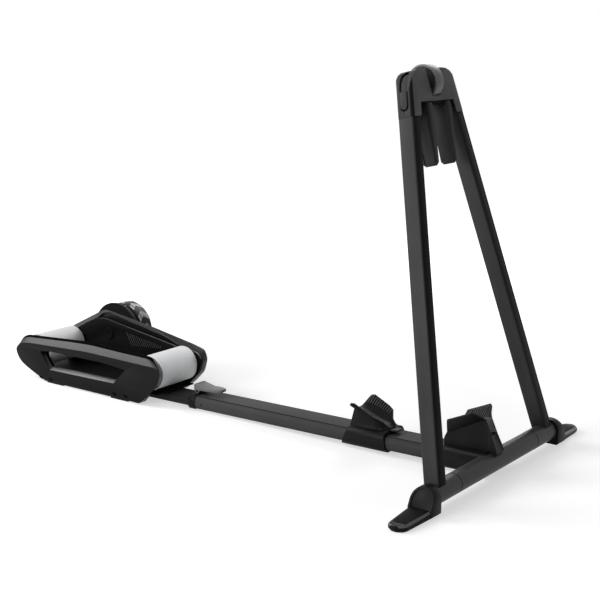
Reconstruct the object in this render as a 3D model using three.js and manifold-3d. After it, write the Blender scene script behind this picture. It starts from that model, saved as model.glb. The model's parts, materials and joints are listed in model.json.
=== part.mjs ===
// Bike rollers with a folding front frame, two tyre chocks on a spine and a sliding rear roller unit.
// Millimetres. +X right, +Y toward the rear unit, +Z up. The origin is under the middle of the stand.
import * as THREE from 'three';
import { mergeVertices } from 'three/addons/utils/BufferGeometryUtils.js';
import Module from 'manifold-3d';

const manifold = await Module();
manifold.setup();

// Clearances
const seat = 0.3;              // between pieces that rest against each other
const running = 0.2;           // radial, between a shaft and its bearing
const overrun = 6;             // how far a cutting shape runs past what it cuts
const weldGap = 0.0001;        // corners closer than this are one corner

// Whole stand
const tubeAxisHeight = 30;     // the cross tube's axis above the floor
const lean = THREE.MathUtils.degToRad(14);     // the front frame leans back
const fall = THREE.MathUtils.degToRad(0.9);    // the spine falls toward the rear unit
const tyreRadius = 340;        // a 700c tyre, which the two chocks cradle
const wheelPlace = 162;        // where the tyre stands on the spine, back from the cross tube

// Front frame
const frameHeight = 796;       // along the leg plane, from the tube's axis to the head's top
const legFootHalf = 246;       // outer face to the middle, at the tube's axis
const legTopHalf = 80.8;       // outer face to the middle, at the head's top
const legWidth = 30;
const legDepth = 34;
const legCorner = 4;
const legWall = 2.6;
const legGroove = 2;
const legGrooveDepth = 1.6;
const legGroovePlace = 5;
const legFoot = 9;             // where the leg starts above the tube's axis
const spigotOuterInset = 9;
const spigotInset = 2.9;
const spigotLength = 59;       // how far the leg's spigot stands up in the head

// Cross tube and its axle
const tubeRadius = 21;
const axleRadius = 17;
const axleWall = 3;
const sleeveMargin = 6;        // the pivot sleeve stands out past the leg's foot
const sleeveLength = 87;
const sleeveEnd = legFootHalf + sleeveMargin;
const crossTubeHalf = sleeveEnd - sleeveLength;

// Boots at the cross tube's ends
const bootRadius = 25.5;
const bootWidth = 18;          // at the top of the boot's slanted outer face
const bootSlant = 20;          // how far that face comes out on its way down to the toe
const bootSocketDepth = 14;
const bootRimWidth = 4.5;
const bootRecessDepth = 3;
const footLength = 127;        // from the pivot sleeve's end to the toe's tip
const toeReach = sleeveEnd + footLength;
const toeHeelWidth = 49;
const toeTipWidth = 41;
const toeHeelHeight = 17;
const toeTipHeight = 13;
const toeChamfer = 3.5;
const toeTipLength = 18;       // the rounded end of the toe
const soleThickness = 3;
const soleInset = 2.5;

// Spine
const spineWidth = 75;
const spineHeight = 31;
const spineCorner = 12;
const spineTop = 15.5;         // above the cross tube's axis
const spineStart = 24;
const spineEnd = 763;
const trackWidth = 54;
const trackGroove = 2.2;
const trackGrooveDepth = 2;
const innerWidth = 60;
const innerHeight = 20;
const innerWall = 2.5;
const innerCorner = 3;
const innerTop = 8;
const innerHidden = 323;       // length of the sliding tube inside the spine
const innerStart = spineEnd - innerHidden;
const collarLength = 15;       // past the spine's end
const collarEnd = spineEnd + collarLength;
const collarLap = 4;           // how far the collar reaches over the spine's end
const collarWall = 1.5;

// Spine joint behind the cross tube
const jointWall = 4.2;
const jointTop = 24;
const jointBottom = -22;
const jointEnd = 105;
const jointStart = 1;
const jointCorner = 9.6;

// Tyre chocks
const wingHalf = 45;
const wingThickness = 4.5;
const chockFloorHalf = 9;
const tyreGap = 2;
const tyreLift = 8;            // the wings hold the tyre this far above the spine
const frontChockFront = -16;
const frontChockLength = 114.5;
const frontChockHeight = 88;
const frontChockFoot = 19.6;   // the front foot's underside above the cross tube's axis
const rearChockSetback = 78;   // from where the tyre stands
const rearChockFront = wheelPlace + rearChockSetback;
const rearChockLength = 80;
const rearChockHeight = 60;
const rearChockHeel = 10;      // the rear end's foot stands back by this from its top
const chockSleeveWall = 4.1;
const chockSleeveBottomWall = 3.6;
const chockSleeveCorner = 13.5;
const slideGap = 0.4;
const chockSleeveLead = 2;     // the sleeve starts this far ahead of the wings
const chockSleeveLength = 107;
const chockSleeveFront = rearChockFront - chockSleeveLead;
const chockSleeveRear = chockSleeveFront + chockSleeveLength;
const chockSleeveSlant = 18;   // the rear edge leans forward as it rises
const chockSleeveNose = 7;     // the front edge's foot reaches forward

// Chock latch
const latchHalf = 12;
const latchReach = 17;         // the tab stands this far ahead of the chock's sleeve
const latchPivotSetback = 5;
const latchHeel = 14;
const latchFront = chockSleeveFront - latchReach;
const latchPivot = chockSleeveFront + latchPivotSetback;
const latchRear = chockSleeveFront + latchHeel;
const latchPivotHeight = 21;
const latchHub = 3.8;
const latchTabHeight = 25.5;
const latchTabThickness = 3;
const latchPinRadius = 1.6;
const latchPinHalf = 17;

// Cam lever
const leverSetback = 5;        // the lever's pin is this far behind the spine's end
const leverPivot = spineEnd + leverSetback;
const leverPivotHeight = 23;
const leverHub = 6.2;
const leverPinRadius = 3;
const leverHalf = 18;
const lugHalf = 11;
const leverLength = 70;        // from the pin to the blade's tip
const leverTip = leverPivot - leverLength;
const leverBladeBottom = 26;
const leverBladeTop = 34.5;
const leverTipThickness = 5.4;
const leverDip = 1.6;          // the blade's top is hollow by this ahead of the head
const leverHeadTop = 40;
const leverHeadLength = 8;
const leverHeadOverhang = 1;
const leverTipHalf = 9;
const leverPocketDepth = 4.6;
const leverSwingRoom = 11;     // the head is open this far above the pin, so that it clears the collar

// Head, measured down from its top
const headSideDrop = 91;
const headFrontDrop = 65;
const headSideBottom = frameHeight - headSideDrop;
const headFrontBottom = frameHeight - headFrontDrop;
const headRoom = 2;            // the head stands proud of the legs' faces
const headDepth = legDepth + 2 * headRoom;
const headWall = 2.4;
const headProud = 0.5;
const headCorner = 40;
const headEdge = 8;

// Thumb wheel and closing screws
const wheelRadius = 34.5;
const wheelHalf = 15;
const wheelDrop = 24;          // the wheel's axis below the head's top
const wheelHeight = frameHeight - wheelDrop;
const wheelSlotFoot = 16;
const wheelSlotTop = 26;
const wheelSlotStraight = 11;  // the slot widens above this
const screwRadius = 4;
const screwStart = 3;
const screwTipRadius = 1.5;
const screwTipLength = 4;

// Clamp arms
const armPivotDrop = 26;       // the arms' pins below the thumb wheel's axis
const armPivotHeight = wheelHeight - armPivotDrop;
const armPivotHalf = 35;
const armPinRadius = 3;
const armLength = 141;         // from the pin to the arm's lower end
const armBottom = armPivotHeight - armLength;
const armDepth = 37;
const armProud = 3;            // at the top the arms' front faces stand this far ahead of the head's
const armFrontSlant = 6;       // the front face falls back by this down to the foot
const armTopHalfWidth = 13;
const armFootHalfWidth = 6;
const armFootEase = 6;         // on the lower corners, front and rear
const lugHalfWidth = 5;
const armTopInner = armPivotHalf - armTopHalfWidth;
const armTopOuter = armPivotHalf + armTopHalfWidth;
const armFootInner = armPivotHalf - armFootHalfWidth;
const armFootOuter = armPivotHalf + armFootHalfWidth;
const armNeckDrop = 17.5;      // the arm's shoulder below its pin
const armNeckHeight = armPivotHeight - armNeckDrop;
const lugInner = armPivotHalf - lugHalfWidth;
const lugOuter = armPivotHalf + lugHalfWidth;
const lugDepth = 18;
const lugRise = 5;             // the lug's top above the thumb wheel's axis
const lugTop = wheelHeight + lugRise;
const padThickness = 4;
const padDrop = 8;             // the pad's top below the arm's shoulder
const padTop = armNeckHeight - padDrop;
const armRecess = 2.4;
const armFlange = 4;

// Side rockers
const rockerRise = 12;         // above the head's lower edge
const rockerCrown = 3;         // below the head's top
const rockerLow = headSideBottom + rockerRise;
const rockerHigh = frameHeight - rockerCrown;
const rockerWidth = 18;
const rockerGap = 0.5;
const rockerEndGap = 2;        // room for the tilt
const rockerProud = 1.6;
const rockerSunk = 2.4;
const rockerBack = 5.2;
const rockerHoleDepth = 4.4;

// Rear roller unit
const drumSetback = 97;        // from the collar's end to the front drum's axis
const frontDrum = collarEnd + drumSetback;
const drumSpacing = 380;
const drumRadius = 41.5;
const drumWall = 4;
const drumEnd = 6;
const drumEase = 1;
const shaftRadius = 6;
const bearingRadius = 13;
const innerReach = 50;         // the sliding tube runs this far past the front drum's axis
const innerEnd = frontDrum + innerReach;
const panThickness = 3;
const panLead = 29;            // the pan starts this far ahead of the front drum's axis
const panTail = 33;
const drumClearance = 7.2;     // between the pan and the drums
const drumHeight = innerTop + seat + panThickness + drumClearance + drumRadius;
const housingInner = 64;
const drumSideGap = 3;
const drumHalf = housingInner - drumSideGap;
const plateThickness = 5;
const nearDepth = 21;          // near housing, from its inner to its outer face
const farDepth = 24;
const housingHalf = housingInner + nearDepth;
const farHalf = housingInner + farDepth;
const shell = 2.6;
const padReach = 18;
const padWidth = 56;
const bottomClearance = 4;

// Flywheel and its drive
const flywheelPlaceShare = 0.6658;     // of the drum spacing, back from the front drum
const flywheelRise = 39;       // above the drums' axes
const flywheelRadius = 69;
const flywheelRim = 16;
const flywheelWeb = 12;
const flywheelBevel = 7;
const flywheelEase = 2;
const flywheelWidth = 43;
const flywheelGap = 3;         // between the shroud's lip and the flywheel
const hubRadius = 16.8;
const flyShaftRadius = 7;
const shroudMargin = 2;
const shroudRadius = flywheelRadius + shroudMargin;
const shroudDepth = 15.7;
const shroudOuter = farHalf + seat + shroudDepth;
const shroudWall = 2.6;
const flywheelInner = shroudOuter + flywheelGap;
const flywheelOuter = flywheelInner + flywheelWidth;
const pulleySetback = 4;
const pulleyWidth = 9;
const pulleyInner = housingInner + plateThickness + pulleySetback;
const pulleyOuter = pulleyInner + pulleyWidth;
const drumPulleyRadius = 24;
const flyPulleyRadius = 10;
const pulleyFlange = 1.5;
const pulleyLip = 1;
const shaftEnd = 1.5;          // how far a shaft stands out of its last seat
const beltThickness = 2;
const beltWidth = 7;
const statorOuter = 52;
const statorInner = 30;
const statorWidth = 9;

// Electronics
const boardThickness = 1.6;
const boardLength = 150;
const boardHeight = 52;
const boardSetback = 30;       // behind the front drum's axis
const inletRadius = 9;
const inletHole = 4;
const inletLength = 10;
const inletSetback = 30;
const inletHeight = 12;

// Materials
const material = (color, roughness, metalness) =>
  new THREE.MeshStandardMaterial({ color, roughness, metalness });
const blackAnodised = material(0x2b2c2e, 0.42, 0.5);
const blackPlastic = material(0x1d1e1f, 0.6, 0);
const greyPlastic = material(0x75777a, 0.5, 0);
const rubber = material(0x131313, 0.85, 0);
const satinSteel = material(0x9fa1a4, 0.35, 0.9);
const drumAluminium = material(0xc9cacc, 0.3, 0.9);
const flywheelSteel = material(0xa8a9ab, 0.35, 0.85);
const boardGreen = material(0x1e4a30, 0.5, 0.1);

// A closed surface with shared corners and its faces pointing outwards.
function closed(geometry) {
  const plain = geometry.clone();
  for (const name of Object.keys(plain.attributes)) {
    if (name !== 'position') plain.deleteAttribute(name);
  }
  const merged = mergeVertices(plain, weldGap);
  const spot = merged.attributes.position;
  const order = merged.index.array;
  const corner = [new THREE.Vector3(), new THREE.Vector3(), new THREE.Vector3()];
  const kept = [];
  let volume = 0;
  for (let i = 0; i < order.length; i += 3) {
    const [a, b, c] = [order[i], order[i + 1], order[i + 2]];
    if (a === b || b === c || c === a) continue;
    kept.push(a, b, c);
    corner.forEach((point, k) => point.fromBufferAttribute(spot, order[i + k]));
    volume += corner[0].dot(corner[1].cross(corner[2]));
  }
  if (volume < 0) kept.reverse();
  merged.setIndex(kept);
  return merged;
}

function toSolid(geometry) {
  const surface = closed(geometry);
  return new manifold.Manifold(new manifold.Mesh({
    numProp: 3,
    vertProperties: new Float32Array(surface.attributes.position.array),
    triVerts: new Uint32Array(surface.index.array),
  }));
}

function toGeometry(solid) {
  const mesh = solid.getMesh();
  const geometry = new THREE.BufferGeometry();
  geometry.setAttribute('position', new THREE.BufferAttribute(mesh.vertProperties, 3));
  geometry.setIndex(new THREE.BufferAttribute(mesh.triVerts, 1));
  return geometry;
}

const cut = (geometry, ...tools) =>
  toGeometry(tools.reduce((solid, tool) => solid.subtract(toSolid(tool)), toSolid(geometry)));
const join = (geometry, ...others) =>
  toGeometry(others.reduce((solid, other) => solid.add(toSolid(other)), toSolid(geometry)));
const common = (geometry, ...others) =>
  toGeometry(others.reduce((solid, other) => solid.intersect(toSolid(other)), toSolid(geometry)));

// Basic forms, each placed by its limits along the axes.
function block(x0, x1, y0, y1, z0, z1) {
  const form = new THREE.BoxGeometry(x1 - x0, y1 - y0, z1 - z0);
  return form.translate((x0 + x1) / 2, (y0 + y1) / 2, (z0 + z1) / 2);
}

function bar(radius, x0, x1, y, z, sides = 24) {
  const form = new THREE.CylinderGeometry(radius, radius, x1 - x0, sides);
  return form.rotateZ(Math.PI / 2).translate((x0 + x1) / 2, y, z);
}

// A turned form about a line along X: the profile holds [place along X, radius] pairs.
function turned(profile, y, z, sides = 24) {
  const points = profile.map(([x, radius]) => new THREE.Vector2(radius, x));
  if (points[0].x > 0) points.push(points[0].clone());
  return new THREE.LatheGeometry(points, sides).rotateZ(-Math.PI / 2).translate(0, y, z);
}

const ring = (outer, inner, x0, x1, y, z, sides = 24) =>
  turned([[x0, inner], [x0, outer], [x1, outer], [x1, inner]], y, z, sides);

const toShape = (outline) =>
  outline instanceof THREE.Shape ? outline : new THREE.Shape(outline.map(([u, v]) => new THREE.Vector2(u, v)));

function extruded(outline, depth, curveSegments) {
  return new THREE.ExtrudeGeometry(toShape(outline), { depth, bevelEnabled: false, curveSegments });
}

// Prisms: the outline lies in the other two axes, in X, Y, Z order.
function prismX(outline, x0, x1, curveSegments = 4) {
  const turn = new THREE.Matrix4().set(0, 0, 1, x0, 1, 0, 0, 0, 0, 1, 0, 0, 0, 0, 0, 1);
  return extruded(outline, x1 - x0, curveSegments).applyMatrix4(turn);
}

function prismY(outline, y0, y1, curveSegments = 4) {
  return extruded(outline, y1 - y0, curveSegments).rotateX(Math.PI / 2).translate(0, y1, 0);
}

function prismZ(outline, z0, z1, curveSegments = 4) {
  return extruded(outline, z1 - z0, curveSegments).translate(0, 0, z0);
}

function roundedBox(u0, u1, v0, v1, radius) {
  const shape = new THREE.Shape();
  shape.moveTo(u0 + radius, v0);
  shape.lineTo(u1 - radius, v0);
  shape.absarc(u1 - radius, v0 + radius, radius, -Math.PI / 2, 0);
  shape.lineTo(u1, v1 - radius);
  shape.absarc(u1 - radius, v1 - radius, radius, 0, Math.PI / 2);
  shape.lineTo(u0 + radius, v1);
  shape.absarc(u0 + radius, v1 - radius, radius, Math.PI / 2, Math.PI);
  shape.lineTo(u0, v0 + radius);
  shape.absarc(u0 + radius, v0 + radius, radius, Math.PI, Math.PI * 1.5);
  return shape;
}

// A skin over outlines with the same number of points, one at each place along an axis.
function loft(stations, toPoint) {
  const count = stations[0].outline.length;
  const toVectors = (outline) => outline.map(([u, v]) => new THREE.Vector2(u, v));
  const clockwise = THREE.ShapeUtils.isClockWise(toVectors(stations[0].outline));
  const rings = stations.map(({ outline }) => (clockwise ? outline.slice().reverse() : outline));
  const positions = rings.flatMap((outline, i) => outline.flatMap(([u, v]) => toPoint(u, v, stations[i].at)));
  const index = [];
  const last = (stations.length - 1) * count;
  for (let start = 0; start < last; start += count) {
    for (let i = 0; i < count; i += 1) {
      const a = start + i;
      const b = start + (i + 1) % count;
      index.push(a, b, b + count, a, b + count, a + count);
    }
  }
  THREE.ShapeUtils.triangulateShape(toVectors(rings[0]), []).forEach(([a, b, c]) => index.push(c, b, a));
  THREE.ShapeUtils.triangulateShape(toVectors(rings.at(-1)), [])
    .forEach(([a, b, c]) => index.push(a + last, b + last, c + last));
  const geometry = new THREE.BufferGeometry();
  geometry.setAttribute('position', new THREE.Float32BufferAttribute(positions, 3));
  geometry.setIndex(index);
  return geometry;
}

const alongX = (y, z, x) => [x, y, z];

const mirroredX = (geometry) => geometry.clone().applyMatrix4(new THREE.Matrix4().makeScale(-1, 1, 1));

// Groups: the base, the spine and all that stands on it, and the folding frame.
const rollers = new THREE.Group();
const base = new THREE.Group();
base.position.z = tubeAxisHeight;
const rail = new THREE.Group();
rail.position.z = tubeAxisHeight;
rail.rotation.x = -fall;
const frame = new THREE.Group();
frame.position.z = tubeAxisHeight;
frame.rotation.x = -lean;
rollers.add(base, rail, frame);

function add(group, name, geometry, finish) {
  const mesh = new THREE.Mesh(closed(geometry), finish);
  mesh.name = name;
  group.add(mesh);
}

// The same piece on both sides; it is drawn on the right, at positive X.
function addPair(group, name, geometry, finish) {
  add(group, `right_${name}`, geometry, finish);
  add(group, `left_${name}`, mirroredX(geometry), finish);
}

// Cross tube, axle and pivot sleeves
const boreRadius = axleRadius + seat;
const bootInner = sleeveEnd + seat;
const axleHalf = bootInner + bootSocketDepth - seat;
add(base, 'cross_tube', ring(tubeRadius, boreRadius, -crossTubeHalf, crossTubeHalf, 0, 0, 32), blackAnodised);
add(base, 'pivot_axle', ring(axleRadius, axleRadius - axleWall, -axleHalf, axleHalf, 0, 0, 32), satinSteel);
addPair(frame, 'pivot_sleeve',
  ring(tubeRadius, boreRadius, crossTubeHalf + seat, sleeveEnd, 0, 0, 32), blackAnodised);

// Boots with toes, and their soles
const floorLine = -tubeAxisHeight;
const bootFloor = floorLine + soleThickness + seat;
const toeTop = floorLine + toeHeelHeight;
const faceTop = bootInner + bootWidth;
const faceFoot = faceTop + bootSlant;

function toeSection(halfWidth, top) {
  const edge = Math.min(toeChamfer, (top - bootFloor) / 2, halfWidth / 2);
  return [[-halfWidth, bootFloor], [halfWidth, bootFloor], [halfWidth, top - edge],
    [halfWidth - edge, top], [edge - halfWidth, top], [-halfWidth, top - edge]];
}

function toe() {
  const tipStart = toeReach - toeTipLength;
  const between = (from, to, x) => THREE.MathUtils.lerp(from, to, Math.max(0, (x - faceFoot) / (tipStart - faceFoot)));
  const topAt = (x) => between(toeTop, floorLine + toeTipHeight, Math.min(x, tipStart));
  const widthAt = (x) => between(toeHeelWidth, toeTipWidth, x) / 2;
  const stations = [bootInner, faceFoot, tipStart].map((x) => ({ at: x, outline: toeSection(widthAt(x), topAt(x)) }));
  const tipTurns = 4;
  const lastTurnShare = 0.94;
  for (let i = 1; i <= tipTurns; i += 1) {
    const angle = (i / tipTurns) * (Math.PI / 2) * lastTurnShare;
    const x = tipStart + toeTipLength * Math.sin(angle);
    stations.push({ at: x, outline: toeSection(toeTipWidth / 2 * Math.cos(angle), topAt(x)) });
  }
  return loft(stations, alongX);
}

// The boot's upright part: an arch seen from the end, behind a face that slants out to the toe.
function archPrism(radius, foot, x0, x1) {
  const shape = new THREE.Shape();
  shape.moveTo(-radius, foot);
  shape.lineTo(radius, foot);
  shape.absarc(0, 0, radius, 0, Math.PI);
  return prismX(shape, x0, x1, 10);
}

function beyondFace(depth) {
  const crown = bootRadius + overrun;
  const lean = bootSlant / (bootRadius - toeTop);
  const faceAt = (z) => faceTop - depth + (bootRadius - z) * lean;
  return prismY([[faceAt(toeTop), toeTop], [faceAt(crown), crown], [toeReach + overrun, crown],
    [toeReach + overrun, toeTop]], -bootRadius - overrun, bootRadius + overrun);
}

function boot() {
  const arch = cut(archPrism(bootRadius, bootFloor, bootInner, faceFoot), beyondFace(0));
  const recess = common(archPrism(bootRadius - bootRimWidth, toeTop, bootInner, toeReach), beyondFace(bootRecessDepth));
  const socket = bar(boreRadius, bootInner - overrun, bootInner + bootSocketDepth, 0, 0, 32);
  const underside = block(bootInner - overrun, toeReach + overrun, -toeHeelWidth, toeHeelWidth,
    floorLine - overrun, bootFloor);
  return cut(join(cut(arch, recess), toe()), socket, underside);
}
addPair(base, 'boot', boot(), blackPlastic);

function sole() {
  const heel = bootInner + soleInset;
  const tip = toeReach - soleInset;
  const half = (toeHeelWidth / 2) - soleInset;
  const tipHalf = (toeTipWidth / 2) - soleInset;
  const shape = new THREE.Shape();
  shape.moveTo(heel, -half);
  shape.lineTo(tip - tipHalf, -tipHalf);
  shape.absarc(tip - tipHalf, 0, tipHalf, -Math.PI / 2, Math.PI / 2);
  shape.lineTo(heel, half);
  return prismZ(shape, floorLine, floorLine + soleThickness, 6);
}
addPair(base, 'sole', sole(), rubber);

// Spine, its collar and the tube that slides in it
function spineOutline(grow) {
  const half = spineWidth / 2 + grow;
  return roundedBox(-half, half, spineTop - spineHeight - grow, spineTop + grow, spineCorner);
}
const channelHalf = innerWidth / 2 + seat;
const channelTop = innerTop + seat;
const channelBottom = innerTop - innerHeight - seat;
const innerChannel = (y0, y1) => block(-channelHalf, channelHalf, y0, y1, channelBottom, channelTop);

function spineTube() {
  const grooveStart = trackWidth / 2;
  const groove = block(grooveStart, grooveStart + trackGroove, spineStart - overrun, spineEnd + overrun,
    spineTop - trackGrooveDepth, spineTop + overrun);
  return cut(prismY(spineOutline(0), spineStart, spineEnd), innerChannel(spineStart - overrun, spineEnd + overrun),
    groove, mirroredX(groove));
}
add(rail, 'spine_tube', spineTube(), blackAnodised);

function innerTube() {
  const half = innerWidth / 2;
  const bottom = innerTop - innerHeight;
  const outer = roundedBox(-half, half, bottom, innerTop, innerCorner);
  const bore = block(innerWall - half, half - innerWall, innerStart - overrun, innerEnd + overrun,
    bottom + innerWall, innerTop - innerWall);
  return cut(prismY(outer, innerStart, innerEnd, 2), bore);
}
add(rail, 'inner_tube', innerTube(), blackAnodised);

const lugEdge = leverHub + seat / 2;
function spineCollar() {
  const body = prismY(spineOutline(collarWall), spineEnd - collarLap, collarEnd);
  const lap = prismY(spineOutline(seat), spineEnd - collarLap - overrun, spineEnd + seat);
  const pocket = (x0, x1) => block(x0, x1, leverPivot - leverHub - seat * 3, collarEnd + overrun,
    spineTop + collarWall - leverPocketDepth, spineTop + overrun);
  const pocketStart = lugHalf;
  const pocketEnd = leverHalf + seat * 2;
  const neck = block(-lugHalf, lugHalf, leverPivot - leverHub * 0.8, leverPivot + leverHub * 0.8,
    channelTop + seat, leverPivotHeight);
  const lug = bar(lugEdge, -lugHalf, lugHalf, leverPivot, leverPivotHeight, 20);
  const eye = bar(leverPinRadius + running, -leverHalf, leverHalf, leverPivot, leverPivotHeight, 20);
  const under = block(-spineWidth, spineWidth, spineEnd - collarLap - overrun, collarEnd + overrun,
    -spineHeight, spineTop - spineHeight);
  return cut(join(cut(body, pocket(pocketStart, pocketEnd), pocket(-pocketEnd, -pocketStart)), neck, lug),
    lap, innerChannel(spineEnd - overrun, collarEnd + overrun), eye, under);
}
add(rail, 'spine_collar', spineCollar(), blackPlastic);
add(rail, 'lever_pin',
  bar(leverPinRadius, -leverHalf - seat, leverHalf + seat, leverPivot, leverPivotHeight, 20), satinSteel);

// Cam lever: two cheeks on the pin, a head above it and a blade that lies along the spine.
function camLever() {
  const headRear = leverPivot + leverHeadLength;
  const headFront = leverPivot - leverHub * 3;
  const side = [
    [leverTip, leverBladeTop - leverTipThickness], [leverTip, leverBladeTop],
    [headFront - leverHub, leverBladeTop - leverDip], [headFront, leverBladeTop],
    [headRear, leverHeadTop], [headRear + leverHeadOverhang, leverPivotHeight + leverHub],
    [leverPivot + leverHub, leverPivotHeight], [leverPivot + leverHub * 0.5, leverPivotHeight - leverHub * 0.85],
    [leverPivot - leverHub * 0.5, leverPivotHeight - leverHub * 0.85], [leverPivot - leverHub, leverPivotHeight],
    [leverPivot - leverHub * 1.7, leverBladeBottom], [leverTip + leverTipHalf, leverBladeBottom]];
  const plan = new THREE.Shape();
  plan.moveTo(-leverHalf, headRear + overrun);
  plan.lineTo(-leverHalf, headFront);
  plan.quadraticCurveTo(-leverHalf, leverTip + leverHalf, -leverTipHalf, leverTip + leverTipHalf / 3);
  plan.quadraticCurveTo(0, leverTip - leverTipHalf / 3, leverTipHalf, leverTip + leverTipHalf / 3);
  plan.quadraticCurveTo(leverHalf, leverTip + leverHalf, leverHalf, headFront);
  plan.lineTo(leverHalf, headRear + overrun);
  const body = common(prismX(side, -leverHalf, leverHalf), prismZ(plan, -spineTop, leverHeadTop + overrun, 5));
  const lugRoom = bar(lugEdge + 2 * seat, -lugHalf - seat, lugHalf + seat, leverPivot, leverPivotHeight, 20);
  const neckRoom = block(-lugHalf - seat, lugHalf + seat, leverPivot - leverHub * 1.6, headRear + overrun,
    -spineTop, leverPivotHeight);
  const eye = bar(leverPinRadius + running, -leverHalf - overrun, leverHalf + overrun, leverPivot,
    leverPivotHeight, 20);
  const swingRoom = block(-lugHalf - seat, lugHalf + seat, leverPivot, headRear + overrun,
    leverPivotHeight - seat, leverPivotHeight + leverSwingRoom);
  return cut(body, lugRoom, neckRoom, swingRoom, eye);
}
add(rail, 'cam_lever', camLever(), greyPlastic);

// Spine joint: a socket that hugs the cross tube's back and holds the spine's front end.
function spineJoint() {
  const half = spineWidth / 2 + seat + jointWall;
  const body = prismY(roundedBox(-half, half, jointBottom, jointTop, jointCorner), jointStart, jointEnd);
  const socket = prismY(spineOutline(seat), spineStart - seat, jointEnd + overrun);
  const tubeRoom = bar(tubeRadius + seat, -half - overrun, half + overrun, 0, 0, 32);
  return cut(body, socket, tubeRoom);
}
add(rail, 'spine_joint', spineJoint(), blackPlastic);

// Tyre chocks: a wedge that carries two ribbed wings, with a channel that follows the tyre.
const tyreFloor = (y) => {
  const along = y - wheelPlace;
  const radius = tyreRadius + tyreGap;
  return spineTop + tyreLift + tyreRadius - Math.sqrt(radius * radius - along * along);
};

// Sections along a chock. Each row holds shares: the place of the chock's length, the half widths of
// the base and of the wing's root of a wing's half width, the root's height of the chock's height,
// and the wing tip's half width and height.
const frontChockShares = [
  [0, 0.378, 0.378, 0.0625, 0.382, 0.074], [0.14, 0.411, 0.333, 0.449, 0.338, 0.46],
  [0.25, 0.438, 0.296, 0.778, 0.322, 0.795], [0.297, 0.451, 0.318, 0.778, 0.489, 0.869],
  [0.358, 0.467, 0.344, 0.756, 0.844, 0.972], [0.41, 0.478, 0.367, 0.722, 1, 1],
  [0.664, 0.54, 0.476, 0.558, 1, 0.858], [0.873, 0.591, 0.569, 0.422, 1, 0.744],
  [0.908, 0.6, 0.584, 0.399, 0.822, 0.585], [0.934, 0.607, 0.596, 0.381, 0.667, 0.415],
  [1, 0.622, 0.622, 0.253, 0.633, 0.267]];
const rearChockShares = [
  [0, 0.622, 0.344, 0.183, 0.378, 0.2], [0.125, 0.622, 0.456, 0.333, 0.489, 0.383],
  [0.275, 0.622, 0.622, 0.467, 0.933, 0.6], [0.4, 0.622, 0.622, 0.55, 1, 0.7],
  [0.65, 0.622, 0.622, 0.65, 1, 0.867], [0.8625, 0.622, 0.6, 0.72, 1, 1],
  [0.965, 0.622, 0.5, 0.75, 0.99, 0.99], [1, 0.6, 0.45, 0.72, 0.92, 0.93]];

// Half a section goes from the base outwards, up over the wing and down to the channel's floor.
function chockBody(shares, front, length, height, bottom, heel) {
  const withHeel = (x, z, y) => {
    const back = heel * ((y - front) / length) * Math.max(0, 1 - (z - bottom) / height);
    return [x, y + back, z];
  };
  return loft(shares.map(([along, baseHalf, rootHalf, rootUp, tipHalf, tipUp]) => {
    const y = front + along * length;
    const root = spineTop + rootUp * height;
    const tip = spineTop + tipUp * height;
    const floor = Math.min(tyreFloor(y), root);
    const inner = Math.max(chockFloorHalf, rootHalf * wingHalf - wingThickness);
    const half = [
      [baseHalf * wingHalf, bottom], [rootHalf * wingHalf, root], [tipHalf * wingHalf, tip],
      [tipHalf * wingHalf - wingThickness * 0.7, tip + wingThickness / 2],
      [inner, Math.max(floor + wingThickness / 3, root + wingThickness * 0.6)], [chockFloorHalf, floor]];
    return { at: y, outline: [...half, ...half.slice().reverse().map(([x, z]) => [-x, z])] };
  }), withHeel);
}

function frontChock() {
  const body = chockBody(frontChockShares, frontChockFront, frontChockLength, frontChockHeight, frontChockFoot, 0);
  const jointRoom = block(-spineWidth, spineWidth, jointStart - seat, jointEnd + overrun,
    -spineHeight, jointTop + seat);
  const tubeRoom = bar(tubeRadius + seat, -spineWidth, spineWidth, 0, 0, 32);
  return cut(body, jointRoom, tubeRoom);
}
add(rail, 'front_chock', frontChock(), blackPlastic);

const sleeveTop = jointTop;
const latchSlotHalf = latchHalf + seat;
function rearChock() {
  const half = spineWidth / 2 + slideGap + chockSleeveWall;
  const bottom = spineTop - spineHeight - slideGap - chockSleeveBottomWall;
  const outer = prismY(roundedBox(-half, half, bottom, sleeveTop, chockSleeveCorner),
    chockSleeveFront - chockSleeveNose, chockSleeveRear);
  const slanted = prismX([[chockSleeveFront - chockSleeveNose, bottom - seat], [chockSleeveRear, bottom - seat],
    [chockSleeveRear - chockSleeveSlant, sleeveTop + seat], [chockSleeveFront, sleeveTop + seat]], -half - seat, half + seat);
  const bore = prismY(spineOutline(slideGap), chockSleeveFront - overrun - chockSleeveNose, chockSleeveRear + overrun);
  const sleeve = cut(common(outer, slanted), bore);
  const wedge = chockBody(rearChockShares, rearChockFront, rearChockLength, rearChockHeight,
    sleeveTop - wingThickness / 2, rearChockHeel);
  const slot = block(-latchSlotHalf, latchSlotHalf, chockSleeveFront - overrun - chockSleeveNose, latchRear + 2 * seat,
    spineTop - seat, latchPivotHeight + latchHub + 2 * seat);
  const eye = bar(latchPinRadius + running, -latchPinHalf, latchPinHalf, latchPivot, latchPivotHeight, 16);
  return cut(join(sleeve, wedge), slot, eye);
}
add(rail, 'rear_chock', rearChock(), blackPlastic);

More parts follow.
